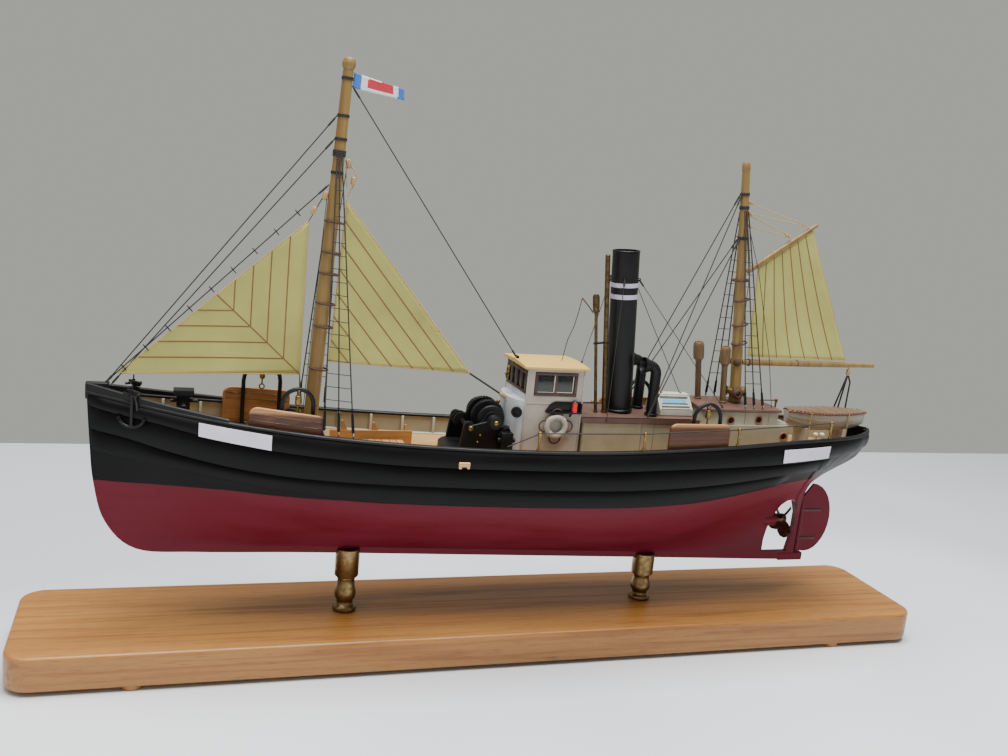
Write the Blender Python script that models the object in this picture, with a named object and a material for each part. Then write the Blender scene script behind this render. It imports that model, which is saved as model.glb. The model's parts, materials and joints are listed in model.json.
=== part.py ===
"""Display model of a steam fishing trawler on its plinth.

Sizes are written in millimetres and made into metres when an object is stored.
X runs from the bow to the stern, port is -Y, and Z is up from the table.
"""
import bpy
import bmesh
import math
from mathutils import Matrix, Vector

MM = 0.001
GAP = 0.3
SEAT = 0.5

# Plinth and pedestals
BOARD_LENGTH = 612.4
BOARD_WIDTH = 96.2
BOARD_BOTTOM = 2.5
BOARD_TOP = 23.4
BOARD_CORNER = 14.5
BOARD_EASE = 2.2
FOOT_RADIUS = 6.8
FOOT_X = 238.0
FOOT_Y = 40.5
PEDESTAL_X = (-110.2, 101.8)

# Hull: keel line, stem and counter, each frame with its rail and its shape
STEM_HALF = 2.0
KEEL_DEPTH = 4.0
STERNPOST = 224.0
BULWARK = 12.0
PLANK = 1.8
DECK_THICK = 1.2
CAP_LOW = -0.5
CAP_HIGH = 1.8
CAP_OUT = 0.9
CAP_IN = 2.8

# keel x, keel z, rail x, hollow near the keel, fullness near the rail
FORE_FRAMES = (
    (-267.6, 162.0, -267.2, 1.0, 1.0),
    (-265.8, 136.0, -262.0, 1.0, 1.0),
    (-263.3, 111.0, -252.0, 1.1, 1.1),
    (-256.3, 86.0, -238.0, 1.3, 1.2),
    (-238.5, 68.6, -216.0, 1.5, 1.5),
    (-203.0, 65.6, -186.0, 1.5, 2.0),
    (-140.0, 63.9, -135.0, 1.3, 2.6),
    (-60.0, 60.8, -60.0, 1.1, 3.0),
    (20.0, 57.7, 20.0, 1.1, 3.1),
    (100.0, 54.6, 100.0, 1.4, 2.9),
    (165.0, 52.0, 165.0, 3.0, 2.6),
    (203.0, 50.5, 198.0, 5.5, 2.3),
    (224.5, 49.8, 211.0, 7.5, 2.2),
)
AFT_FRAMES = (
    (224.5, 49.8, 211.0, 7.5, 2.2),
    (224.8, 78.0, 222.5, 4.5, 2.1),
    (225.6, 98.0, 232.0, 2.2, 2.0),
    (229.0, 107.5, 240.0, 1.5, 2.0),
    (238.0, 115.0, 249.0, 1.1, 2.0),
    (250.0, 121.5, 258.0, 0.9, 1.9),
    (261.0, 127.0, 265.0, 0.8, 1.8),
    (268.0, 132.5, 269.0, 0.8, 1.7),
    (271.6, 141.5, 271.8, 0.8, 1.6),
)
RAIL_PLAN = (
    (-268.0, 1.6), (-256.0, 6.6), (-240.0, 13.0), (-215.0, 21.6), (-180.0, 31.0), (-130.0, 38.4),
    (-60.0, 42.8), (20.0, 44.6), (100.0, 44.8), (150.0, 43.2), (200.0, 38.6), (230.0, 32.0),
    (250.0, 23.4), (260.0, 16.2), (268.4, 8.8), (272.0, 2.2),
)
SHEER = (
    (-268.0, 163.4), (-200.0, 154.0), (-120.0, 146.6), (-40.0, 142.6), (40.0, 141.8), (120.0, 145.4),
    (200.0, 150.0), (272.4, 150.2),
)
BOW_RAIL_END = -190.0
BOW_RAIL_TOP = ((-268.0, 169.8), (-230.0, 162.8), (-190.0, 156.4))

# Propeller and rudder
APERTURE = (
    (196.8, 56.4), (218.0, 56.4), (219.6, 64.0), (221.0, 72.0), (221.6, 86.0), (220.2, 94.0), (214.5, 98.3),
    (208.5, 97.8), (204.5, 94.5), (201.5, 88.0), (198.0, 74.0), (196.8, 66.0),
)
FRAME_TOP = 94.3
SHAFT_Z = 81.6
BOSS_END = 204.4
BOSS_RADIUS = 5.2
BORE_RADIUS = 2.0
PROP_X = 210.0
PROP_RADIUS = 15.2
RUDDER_X = 227.6
RUDDER_STOCK = 1.5
RUDDER_MIDDLE = (234.5, 82.0)
RUDDER_REACH = 17.9
RUDDER_HALF = 26.2
STOCK_TOP = 99.0
SHOE_START = 212.0
SHOE_END = 232.4
SHOE_LOW = 49.2
SHOE_TOP = 55.2
SHOE_HALF = 2.4

# Houses
WHEELHOUSE = (-7.5, 31.5)
WHEELHOUSE_HALF = 20.5
WHEELHOUSE_TOP = 191.0
WALL = 1.5
SIDE_WINDOW = (-2.4, 27.0, 173.6, 189.2)
FRONT_WINDOW_HALF = 19.4
FRONT_WINDOWS = 4
SILL = 174.2
HEAD = 189.2
BULGE = 7.2
BULGE_TOP = 170.0
CASING = (34.0, 119.6)
CASING_HALF = 20.0
CASING_TOP = 156.2
ROOF_THICK = 3.6
ROOF_TOP = CASING_TOP + GAP + ROOF_THICK
SKYLIGHT = (93.5, 118.5, 11.5)
AFTER_HOUSE = (121.0, 191.0)
AFTER_HALF = 21.4
AFTER_TOP = 157.0
TRUNK = (121.8, 181.5)
TRUNK_HALF = 19.6
TRUNK_TOP = 165.8
COWL = (87.0, 11.0, 198.5)

# Winch shaft
WINCH_X = -27.0
WINCH_Z = 155.9
SECOND_SHAFT = (-42.0, 151.3)

# Spars: x and z of heel and head on the centreline, and radii
FORE_HEEL = (-140.2, 138.0)
FORE_HEAD = (-130.1, 367.0)
FORE_STEP = 290.8
MIZZEN_HEEL = (157.2, 169.6)
MIZZEN_HEAD = (139.9, 334.0)
FUNNEL_FOOT = (67.6, 159.6)
FUNNEL_HEAD = (59.6, 269.0)
FUNNEL_RADIUS = 9.0

MAST_HOOPS = (182.3, 208.4, 222.5, 240.6, 253.3, 271.6)
HOOP_RADIUS = 5.0
HOOP_THICK = 0.5
HOOP_REACH = 6.6
BOOM_Z = 197.6
GAFF_HEEL_Z = 260.8

# Jib stay, sails and standing gear
STAY_FOOT = (-258.8, 168.8)
STAY_HEAD = (-137.9, 292.7)
SAIL_THICK = 0.8
TRYSAIL_TACK = 187.0
TRYSAIL_HEAD = 285.0
STANCHIONS = (-4.0, 68.0, 137.5, 215.0)
RAIL_WIRE_START = -24.0

# How far forward the starboard shrouds stand of the port ones
FORE_SHROUD_SHIFT = 6.0
MIZZEN_SHROUD_SHIFT = 9.0

# Each gallows: forward leg, after leg, distance from the centreline and top
GALLOWS = (
    ("gallows_fore_port", -160.3, -142.0, -26.2, 176.0),
    ("gallows_fore_starboard", -178.9, -156.5, 22.8, 181.0),
    ("gallows_aft_port", 106.0, 125.6, -36.4, 176.0),
    ("gallows_aft_starboard", 89.5, 109.0, 36.4, 176.0),
)

# Each trawl door: side, fore end, after end and the height of its top at each end
DOORS = (
    ("trawl_door_fore_port", -1, -179.0, -135.5, 163.6, 160.5),
    ("trawl_door_fore_starboard", 1, -191.0, -149.0, 164.2, 161.4),
    ("trawl_door_aft_port", -1, 87.0, 132.0, 162.0, 162.0),
    ("trawl_door_aft_starboard", 1, 71.0, 116.0, 161.6, 161.6),
)
DOOR_INSET = 4.4
DOOR_THICK = 2.2

# Life ring: x, z, radius of its round, radius of its section
LIFE_RING = (14.2, 154.3, 6.2, 1.9)


def clear_scene():
    for item in list(bpy.data.objects):
        bpy.data.objects.remove(item, do_unlink=True)


def paint(name, colour, rough=0.5, metal=0.0):
    """A plain Principled material from a hex colour."""
    values = [int(colour[i:i + 2], 16) / 255 for i in (0, 2, 4)]
    linear = [v / 12.92 if v <= 0.04045 else ((v + 0.055) / 1.055) ** 2.4 for v in values]
    material = bpy.data.materials.new(name)
    material.use_nodes = True
    shader = material.node_tree.nodes["Principled BSDF"]
    shader.inputs["Base Color"].default_value = (*linear, 1.0)
    shader.inputs["Roughness"].default_value = rough
    shader.inputs["Metallic"].default_value = metal
    material.diffuse_color = (*linear, 1.0)
    return material


# Curves and outlines

def spline(points, steps):
    """Points along a smooth curve through the given ones."""
    out = []
    last = len(points) - 1
    for i in range(last):
        p0 = Vector(points[max(i - 1, 0)])
        p1 = Vector(points[i])
        p2 = Vector(points[i + 1])
        p3 = Vector(points[min(i + 2, last)])
        for k in range(steps):
            t = k / steps
            out.append(0.5 * (2 * p1 + (p2 - p0) * t + (2 * p0 - 5 * p1 + 4 * p2 - p3) * t ** 2
                              + (3 * p1 - p0 - 3 * p2 + p3) * t ** 3))
    out.append(Vector(points[last]))
    return out


def read(knots, x):
    """The height of a smooth line through the knots at x."""
    x = min(max(x, knots[0][0]), knots[-1][0])
    i = 0
    while i < len(knots) - 2 and x > knots[i + 1][0]:
        i += 1
    x1, y1 = knots[i]
    x2, y2 = knots[i + 1]
    x0, y0 = knots[max(i - 1, 0)]
    x3, y3 = knots[min(i + 2, len(knots) - 1)]
    span = x2 - x1
    rise1 = (y2 - y0) / (x2 - x0) * span
    rise2 = (y3 - y1) / (x3 - x1) * span
    t = (x - x1) / span
    return ((2 * t ** 3 - 3 * t ** 2 + 1) * y1 + (t ** 3 - 2 * t ** 2 + t) * rise1
            + (-2 * t ** 3 + 3 * t ** 2) * y2 + (t ** 3 - t ** 2) * rise2)


def arc(centre_u, centre_v, radius_u, radius_v, start, stop, steps):
    """Points on an elliptic arc, with its angles in degrees."""
    points = []
    for k in range(steps + 1):
        angle = math.radians(start + (stop - start) * k / steps)
        points.append((centre_u + radius_u * math.cos(angle), centre_v + radius_v * math.sin(angle)))
    return points


def rounded_rectangle(half_length, half_width, radius, steps=6):
    points = []
    for sign_x, sign_y, start in ((1, 1, 0), (-1, 1, 90), (-1, -1, 180), (1, -1, 270)):
        points += arc(sign_x * (half_length - radius), sign_y * (half_width - radius),
                      radius, radius, start, start + 90, steps)
    return points


def along(heel, head, z):
    """The centreline point of a spar at height z."""
    t = (z - heel[1]) / (head[1] - heel[1])
    return Vector((heel[0] + (head[0] - heel[0]) * t, 0, z))


def stay_point(x):
    """A point on the jib stay."""
    t = (x - STAY_FOOT[0]) / (STAY_HEAD[0] - STAY_FOOT[0])
    return Vector((x, 0, STAY_FOOT[1] + (STAY_HEAD[1] - STAY_FOOT[1]) * t))


# Solids, each returned as a bmesh in millimetres

def loft(rings):
    """A closed body through a row of rings with the same number of points."""
    bm = bmesh.new()
    rows = [[bm.verts.new(point) for point in ring] for ring in rings]
    count = len(rows[0])
    for low, high in zip(rows, rows[1:]):
        for i in range(count):
            j = (i + 1) % count
            bm.faces.new((low[i], low[j], high[j], high[i]))
    bm.faces.new(list(reversed(rows[0])))
    bm.faces.new(rows[-1])
    bmesh.ops.recalc_face_normals(bm, faces=bm.faces)
    return bm


def box(x, y, z):
    """A block between the pairs x, y and z."""
    corners = ((x[0], y[0]), (x[1], y[0]), (x[1], y[1]), (x[0], y[1]))
    return loft([[(u, v, height) for u, v in corners] for height in z])


def extrude(outline, axis, low, high):
    """A prism: an outline in the other two axes, run along one axis."""
    rings = []
    for level in (low, high):
        if axis == "X":
            rings.append([(level, u, v) for u, v in outline])
        elif axis == "Y":
            rings.append([(u, level, v) for u, v in outline])
        else:
            rings.append([(u, v, level) for u, v in outline])
    return loft(rings)


def turned(profile, foot, direction=(0, 0, 1), sides=16):
    """A lathe-turned body: radius and height pairs along a direction."""
    turn = Vector((0, 0, 1)).rotation_difference(Vector(direction).normalized()).to_matrix()
    foot = Vector(foot)
    rings = []
    for radius, height in profile:
        ring = []
        for k in range(sides):
            angle = 2 * math.pi * k / sides
            ring.append(foot + turn @ Vector((radius * math.cos(angle), radius * math.sin(angle), height)))
        rings.append(ring)
    return loft(rings)


def rod(start, end, radius, sides=10, end_radius=None):
    """A round bar between two points, tapered where a second radius is given."""
    start = Vector(start)
    end = Vector(end)
    if end_radius is None:
        end_radius = radius
    return turned(((radius, 0), (end_radius, (end - start).length)), start, end - start, sides)


def tube(path, radius, sides=8):
    """A round tube swept along a path."""
    points = [Vector(p) for p in path]
    rings = []
    forward = (points[1] - points[0]).normalized()
    side = forward.orthogonal().normalized()
    for i, point in enumerate(points):
        ahead = points[min(i + 1, len(points) - 1)] - points[max(i - 1, 0)]
        turn = forward.rotation_difference(ahead.normalized())
        side = turn @ side
        forward = ahead.normalized()
        up = forward.cross(side)
        rings.append([point + radius * (math.cos(a) * side + math.sin(a) * up)
                      for a in (2 * math.pi * k / sides for k in range(sides))])
    return loft(rings)


def sheet(outline, thickness):
    """A flat panel on the centreline from x and z points."""
    return extrude(outline, "Y", -thickness / 2, thickness / 2)


def moved(bm, shift=(0, 0, 0), turn=None, about=(0, 0, 0)):
    """The same body turned about a point and shifted."""
    if turn is not None:
        bmesh.ops.rotate(bm, verts=bm.verts, cent=Vector(about), matrix=turn)
    bmesh.ops.translate(bm, verts=bm.verts, vec=Vector(shift))
    return bm


def seated(bm, low):
    """The body with its flat underside brought down to the deck."""
    for vert in bm.verts:
        if abs(vert.co.z - low) < 0.01:
            vert.co.z = deck(vert.co.x) + SEAT
    return bm


def mirrored(bm):
    """The body on the other side of the centreline."""
    for vert in bm.verts:
        vert.co.y = -vert.co.y
    bmesh.ops.reverse_faces(bm, faces=bm.faces)
    return bm


def scratch_object(bm):
    mesh = bpy.data.meshes.new("shape")
    bm.to_mesh(mesh)
    bm.free()
    item = bpy.data.objects.new("shape", mesh)
    bpy.context.scene.collection.objects.link(item)
    return item


def joined(bodies, cutters=(), within=()):
    """One body: the union of the first list, less the second, and only what lies inside the third."""
    items = [scratch_object(bm) for bm in bodies]
    tools = [scratch_object(bm) for bm in cutters]
    limits = [scratch_object(bm) for bm in within]
    base = items[0]
    for operation, group in (("UNION", items[1:]), ("INTERSECT", limits), ("DIFFERENCE", tools)):
        for other in group:
            step = base.modifiers.new("step", "BOOLEAN")
            step.operation = operation
            step.solver = "EXACT"
            step.object = other
    bpy.context.view_layer.update()
    result = base.evaluated_get(bpy.context.evaluated_depsgraph_get())
    bm = bmesh.new()
    bm.from_mesh(result.data)
    for item in items + tools + limits:
        bpy.data.objects.remove(item, do_unlink=True)
    bmesh.ops.remove_doubles(bm, verts=bm.verts, dist=0.002)
    return bm


def node(name, bm, material, origin=(0, 0, 0), sharp=38):
    """Store a body as a named object in metres, with its origin at a point."""
    origin = Vector(origin)
    for vert in bm.verts:
        vert.co = (vert.co - origin) * MM
    mesh = bpy.data.meshes.new(name)
    bm.to_mesh(mesh)
    bm.free()
    mesh.shade_smooth()
    mesh.set_sharp_from_angle(angle=math.radians(sharp))
    mesh.materials.append(material)
    item = bpy.data.objects.new(name, mesh)
    item.location = origin * MM
    bpy.context.scene.collection.objects.link(item)
    return item


# The hull's lines

def beam(x):
    return read(RAIL_PLAN, x)


def sheer(x):
    return read(SHEER, x)


def deck(x):
    return sheer(x) - BULWARK


STATIONS = spline([Vector(f) for f in FORE_FRAMES], 2)[:-1] + spline([Vector(f) for f in AFT_FRAMES], 2)


def hull_point(station, level):
    """The port surface at a station: level 0 at the keel and 1 at the rail."""
    keel_x, keel_z, rail_x, hollow, full = station
    height = sheer(rail_x) - keel_z
    depth = KEEL_DEPTH if keel_x < STERNPOST else 0.5
    keel_top = min(depth / height, 0.3)
    rise = max(0.0, (level - keel_top) / (1 - keel_top))
    spread = (1 - (1 - rise) ** full) ** hollow
    half = STEM_HALF + (beam(rail_x) - STEM_HALF) * spread
    return Vector((keel_x + (rail_x - keel_x) * level, -half, keel_z + height * level))


def deck_level(station):
    height = sheer(station[2]) - station[1]
    return 1 - BULWARK / height


def port_and_starboard(points):
    """A ring from port points listed from the top down to the centre."""
    return [Vector(p) for p in points] + [Vector((p[0], -p[1], p[2])) for p in reversed(points)]


def strip(x_low, x_high, steps, half, low, high):
    """A slab along the hull, with its half breadth, underside and top as functions of x."""
    rings = []
    for k in range(steps + 1):
        x = x_low + (x_high - x_low) * k / steps
        rings.append([(x, -half(x), low(x)), (x, half(x), low(x)), (x, half(x), high(x)), (x, -half(x), high(x))])
    return loft(rings)


def well_stations(inset, low, high):
    """Rings of the space inside the bulwark, from below the deck to above the rail."""
    rings = []
    for station in STATIONS:
        height = sheer(station[2]) - station[1]
        if height < BULWARK + 3:
            continue
        level = deck_level(station)
        foot = hull_point(station, level)
        top = hull_point(station, 1)
        if -foot.y - inset < 1.2:
            continue
        foot_y = foot.y + inset
        top_y = top.y + inset
        foot_z = deck(foot.x) + low
        rings.append([(foot.x, foot_y, foot_z), (top.x, top_y, top.z + high),
                      (top.x, -top_y, top.z + high), (foot.x, -foot_y, foot_z)])
    return rings


def deck_rings(inset):
    """Rings of the deck planks between the bulwarks."""
    rings = []
    for station in STATIONS:
        height = sheer(station[2]) - station[1]
        if height < BULWARK + 3:
            continue
        foot = hull_point(station, deck_level(station))
        if -foot.y - inset < 1.0:
            continue
        y = foot.y + inset
        z = deck(foot.x)
        rings.append([(foot.x, y, z - DECK_THICK), (foot.x, y, z), (foot.x, -y, z), (foot.x, -y, z - DECK_THICK)])
    return rings


# The pieces

def make_plinth(oak):
    half_x = BOARD_LENGTH / 2
    half_y = BOARD_WIDTH / 2
    rings = []
    for inset, z in ((BOARD_EASE, BOARD_BOTTOM), (0, BOARD_BOTTOM + BOARD_EASE),
                     (0, BOARD_TOP - BOARD_EASE), (BOARD_EASE, BOARD_TOP)):
        outline = rounded_rectangle(half_x - inset, half_y - inset, BOARD_CORNER - inset)
        rings.append([(x, y, z) for x, y in outline])
    bodies = [loft(rings)]
    for x in (-FOOT_X, FOOT_X):
        for y in (-FOOT_Y, FOOT_Y):
            bodies.append(turned(((FOOT_RADIUS - 0.4, 0), (FOOT_RADIUS, 0.5), (FOOT_RADIUS, BOARD_BOTTOM + 2)),
                                 (x, y, 0)))
    node("plinth", joined(bodies), oak)


def keel_bottom(x):
    """The height of the keel's underside on its straight run."""
    first = FORE_FRAMES[6]
    last = FORE_FRAMES[10]
    return first[1] + (last[1] - first[1]) * (x - first[0]) / (last[0] - first[0])


def make_pedestals(brass):
    for name, x in zip(("pedestal_fore", "pedestal_aft"), PEDESTAL_X):
        foot = BOARD_TOP + GAP
        seat = keel_bottom(x)
        tall = seat - foot
        profile = ((7.2, 0), (7.6, 0.6), (7.6, tall * 0.06), (6.4, tall * 0.1), (5.2, tall * 0.13), (5.2, tall * 0.18),
                   (6.4, tall * 0.22), (6.9, tall * 0.29), (6.6, tall * 0.36), (5.8, tall * 0.46), (5.5, tall * 0.56),
                   (7.7, tall * 0.6), (7.7, tall + 3.2))
        slot_half = STEM_HALF + GAP
        slot = box((x - 9.5, x + 9.5), (-slot_half, slot_half), (seat - GAP - 0.2, seat + 9))
        tilt = Matrix.Rotation(math.atan2(FORE_FRAMES[6][1] - FORE_FRAMES[10][1],
                                          FORE_FRAMES[10][0] - FORE_FRAMES[6][0]), 3, "Y")
        slot = moved(slot, turn=tilt, about=(x, 0, seat))
        node(name, joined([turned(profile, (x, 0, foot), sides=20)], [slot]), brass)


def outer_shell():
    """The whole outside of the hull as one solid, from the keel to the rail."""
    levels = [0.0, 0.035, 0.075, 0.12, 0.17, 0.23, 0.3, 0.38, 0.46, 0.55, 0.64, 0.74, 0.87, 1.0]
    rings = []
    for station in STATIONS:
        points = [hull_point(station, level) for level in reversed(levels)]
        rings.append(port_and_starboard(points))
    return loft(rings)


def stern_joint(inset):
    """The side view of the stern frame: the sole under the propeller and the post behind it."""
    x = APERTURE[0][0] + inset
    top = FRAME_TOP - inset
    return extrude([(x, 30), (x, 60), (205 + inset, 75), (213 + inset, top), (250, top), (250, 30)], "Y", -40, 40)


def make_hull(red):
    """The body of the hull up to its deck, and the stern frame that closes the propeller's aperture."""
    above = strip(-300, 300, 60, lambda x: 60, lambda x: deck(x) - DECK_THICK - GAP, lambda x: deck(x) + 80)
    boss = turned(((2.0, 0), (BOSS_RADIUS, 20), (BOSS_RADIUS, BOSS_END - 176)), (176, 0, SHAFT_Z), (1, 0, 0), 16)
    bore = rod((186, 0, SHAFT_Z), (BOSS_END + 4, 0, SHAFT_Z), BORE_RADIUS, 14)
    # The boss stands proud of the deadwood into the aperture, so it is added after that cut.
    body = joined([outer_shell()], [above, extrude(APERTURE, "Y", -12, 12), stern_joint(0)])
    node("hull", joined([body, boss], [bore]), red)
    shoe = box((SHOE_START, SHOE_END), (-SHOE_HALF, SHOE_HALF), (SHOE_LOW, SHOE_TOP))
    frame = joined([outer_shell(), shoe], [extrude(APERTURE, "Y", -12, 12)], [stern_joint(GAP)])
    node("stern_frame", frame, red)


def make_deck(planks):
    rings = deck_rings(PLANK + GAP)
    # Both ends stand clear of the leaning bow and stern.
    rings[0] = [(x + 2 * GAP, y, z) for x, y, z in rings[0]]
    rings[-1] = [(x - GAP, y, z) for x, y, z in rings[-1]]
    node("deck", loft(rings), planks)


def make_bulwark(black):
    """The planking above the deck, with the cap rail on it and the raised rail round the bow."""
    below = strip(-300, 300, 60, lambda x: 60, lambda x: 0, lambda x: deck(x) - DECK_THICK)
    well = loft(well_stations(PLANK, -DECK_THICK - GAP, 14))
    wall = joined([outer_shell()], [below, well])
    steps = 34
    outer = strip(-268.2, 273.0, steps, lambda x: beam(x) + CAP_OUT, lambda x: sheer(x) + CAP_LOW,
                  lambda x: sheer(x) + CAP_HIGH)
    inner = strip(-259.0, 268.5, steps, lambda x: max(beam(x) - CAP_IN, 0.6), lambda x: sheer(x) - 3,
                  lambda x: sheer(x) + 6)
    raised = strip(-268.4, BOW_RAIL_END, 16, lambda x: beam(x) + 0.6, lambda x: sheer(x) + CAP_HIGH - 0.5,
                   lambda x: read(BOW_RAIL_TOP, x))
    hollow = strip(-258.0, BOW_RAIL_END + 2, 16, lambda x: max(beam(x) - 1.8, 0.6), lambda x: sheer(x) - 3,
                   lambda x: sheer(x) + 20)
    node("bulwark", joined([wall, joined([outer], [inner]), joined([raised], [hollow])]), black)


def make_rudder(red):
    stock = rod((RUDDER_X, 0, SHOE_TOP + GAP), (RUDDER_X, 0, STOCK_TOP), RUDDER_STOCK, 12)
    x, z = RUDDER_MIDDLE
    outline = [(RUDDER_X, STOCK_TOP)] + arc(x, z, RUDDER_REACH, RUDDER_HALF, 90, -90, 14)
    outline += [(RUDDER_X, z - RUDDER_HALF + 0.5)]
    blade = extrude(outline, "Y", -0.9, 0.9)
    node("rudder", joined([blade, stock]), red, (RUDDER_X, 0, z))


def make_propeller(bronze):
    face = BOSS_END + GAP
    hub = turned(((3.6, 0), (3.6, 7.4), (2.8, 9.0), (1.2, 10.0)), (face, 0, SHAFT_Z), (1, 0, 0), 16)
    shaft = rod((188, 0, SHAFT_Z), (face + 1, 0, SHAFT_Z), BORE_RADIUS - GAP, 12)
    bodies = [hub, shaft]
    for k in range(4):
        rings = []
        for reach, chord, pitch in ((2.0, 5.4, 58), (5.0, 8.2, 50), (9.0, 10.0, 44), (12.8, 8.6, 40),
                                    (PROP_RADIUS, 4.0, 38)):
            angle = math.radians(pitch)
            lean = Vector((math.sin(angle), math.cos(angle), 0))
            thick = Vector((math.cos(angle), -math.sin(angle), 0)) * 0.55
            centre = Vector((PROP_X, 0, reach))
            front = centre - lean * chord / 2
            back = centre + lean * chord / 2
            rings.append([front, centre + thick, back, centre - thick])
        blade = loft(rings)
        spin = Matrix.Rotation(math.pi / 2 * k + math.pi / 4, 3, "X")
        bodies.append(moved(blade, (0, 0, SHAFT_Z), spin))
    node("propeller", joined(bodies), bronze, (PROP_X, 0, SHAFT_Z))


def ring(centre, radius, thick, normal=(0, 0, 1), steps=14, sides=5):
    """A round hoop of bar about a centre."""
    turn = Vector((0, 0, 1)).rotation_difference(Vector(normal).normalized()).to_matrix()
    bm = bmesh.new()
    verts = []
    for k in range(steps):
        around = 2 * math.pi * k / steps
        for j in range(sides):
            tilt = 2 * math.pi * j / sides
            reach = radius + thick * math.cos(tilt)
            local = Vector((reach * math.cos(around), reach * math.sin(around), thick * math.sin(tilt)))
            verts.append(bm.verts.new(Vector(centre) + turn @ local))
    for k in range(steps):
        for j in range(sides):
            a = k * sides + j
            b = k * sides + (j + 1) % sides
            c = ((k + 1) % steps) * sides + (j + 1) % sides
            d = ((k + 1) % steps) * sides + j
            bm.faces.new((verts[a], verts[b], verts[c], verts[d]))
    bmesh.ops.recalc_face_normals(bm, faces=bm.faces)
    return bm


def make_masts(wood):
    heel = Vector((FORE_HEEL[0], 0, deck(FORE_HEEL[0]) + SEAT))
    head = Vector((FORE_HEAD[0], 0, FORE_HEAD[1]))
    tall = (head - heel).length
    step = FORE_STEP - heel.z
    profile = ((4.4, 0), (4.3, step * 0.5), (3.8, step), (3.7, step + 2), (3.5, step + 3), (3.1, tall - 8),
               (2.9, tall - 7), (3.7, tall - 5.4), (3.9, tall - 3.6), (3.4, tall - 1.4), (1.8, tall))
    bodies = [turned(profile, heel, head - heel, 18)]
    for z in MAST_HOOPS:
        axis = along(FORE_HEEL, FORE_HEAD, z)
        bodies.append(ring(axis + Vector((HOOP_REACH - HOOP_RADIUS, 0, 0)), HOOP_RADIUS, HOOP_THICK))
    node("foremast", joined(bodies), wood, heel)
    heel = Vector((MIZZEN_HEEL[0], 0, MIZZEN_HEEL[1]))
    head = Vector((MIZZEN_HEAD[0], 0, MIZZEN_HEAD[1]))
    tall = (head - heel).length
    profile = ((4.4, 0), (4.4, 3), (3.9, 4), (3.7, tall * 0.4), (3.1, tall * 0.76), (2.7, tall - 8),
               (2.5, tall - 6.6), (2.9, tall - 5.2), (2.9, tall - 1.6), (1.8, tall))
    bracket = turned(((3.4, 0), (5.0, 3.4), (7.2, 5.4), (7.2, 7.4), (3.6, 7.8)), heel + Vector((0, 0, 1.8)),
                     head - heel, 18)
    node("mizzen_mast", joined([turned(profile, heel, head - heel, 18), bracket]), wood, heel)


def make_boom_and_gaff(wood):
    """Each spar starts with its jaw at the after side of the mizzen mast."""
    heel = along(MIZZEN_HEEL, MIZZEN_HEAD, BOOM_Z) + Vector((4.1, 0, 0))
    end = Vector((269.6, 0, BOOM_Z + 1.4))
    profile = ((1.2, 0), (1.2, 5.6), (2.6, 6.4), (3.2, 8.4), (2.6, 10.4), (1.9, 11.2), (2.1, 12.4),
               (1.5, (end - heel).length))
    node("boom", turned(profile, heel, end - heel, 14), wood)
    heel = along(MIZZEN_HEEL, MIZZEN_HEAD, GAFF_HEEL_Z) + Vector((4.9, 0, 0))
    end = Vector((202.8, 0, 297.0))
    node("gaff", rod(heel, end, 1.7, 12, 1.1), wood)


def make_sails(cloth):
    """The jib's tack lies at its stay, the trysail's luff at the mast hoops."""
    tack = stay_point(-251.0) - Vector((0, 0, 1.2))
    jib = sheet(((tack.x, tack.z), (-147.8, 178.4), (-147.9, 270.8)), SAIL_THICK)
    node("jib", jib, cloth)
    luff = []
    for z in (TRYSAIL_TACK, TRYSAIL_HEAD):
        luff.append((along(FORE_HEEL, FORE_HEAD, z).x + HOOP_REACH + HOOP_THICK + GAP, z))
    trysail = sheet((luff[0], (-40.0, 182.6), luff[1]), SAIL_THICK)
    node("trysail", trysail, cloth)
    sail = sheet(((162.6, 203.0), (244.4, 203.4), (200.0, 292.6), (160.6, 264.4)), SAIL_THICK)
    node("mizzen_sail", sail, cloth)


def make_flag(cloth):
    hoist = [(along(FORE_HEEL, FORE_HEAD, z).x + 3.6, z) for z in (350.0, 358.8)]
    node("flag", sheet((hoist[0], (-96.2, 346.4), (-96.8, 352.6), hoist[1]), 0.7), cloth)


def arch(x0, x1, y, foot, top, radius):
    """An inverted U of tube with its legs on the deck."""
    half = (x1 - x0) / 2
    middle = (x0 + x1) / 2
    path = [(x0, y, foot)] + [(u, y, v) for u, v in arc(middle, top - half, half, half, 180, 0, 10)]
    path.append((x1, y, foot))
    return tube(path, radius, 10)


def make_gallows(black):
    for name, x0, x1, y, top in GALLOWS:
        foot = max(deck(x0), deck(x1)) + SEAT
        node(name, arch(x0, x1, y, foot, top - 1.3, 1.3), black)


def panel(start, end, low, tops, thickness, corner):
    """An upright board between two plan points, with rounded upper corners at their own heights."""
    start = Vector((*start, 0))
    end = Vector((*end, 0))
    length = (end - start).length
    outline = [(0, low), (length, low)]
    outline += arc(length - corner, tops[1] - corner, corner, corner, 0, 90, 5)
    outline += arc(corner, tops[0] - corner, corner, corner, 90, 180, 5)
    bm = extrude(outline, "Y", -thickness / 2, thickness / 2)
    heading = math.atan2(end.y - start.y, end.x - start.x)
    return moved(bm, start, Matrix.Rotation(heading, 3, "Z"))


def make_doors(wood):
    """Boards standing on the deck inside the bulwark, in line with the rail."""
    for name, side, x0, x1, fore_top, after_top in DOORS:
        low = max(deck(x0), deck(x1)) + SEAT
        ends = [(x, side * (beam(x) - DOOR_INSET)) for x in (x0, x1)]
        node(name, panel(*ends, low, (fore_top, after_top), DOOR_THICK, 5), wood)


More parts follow.
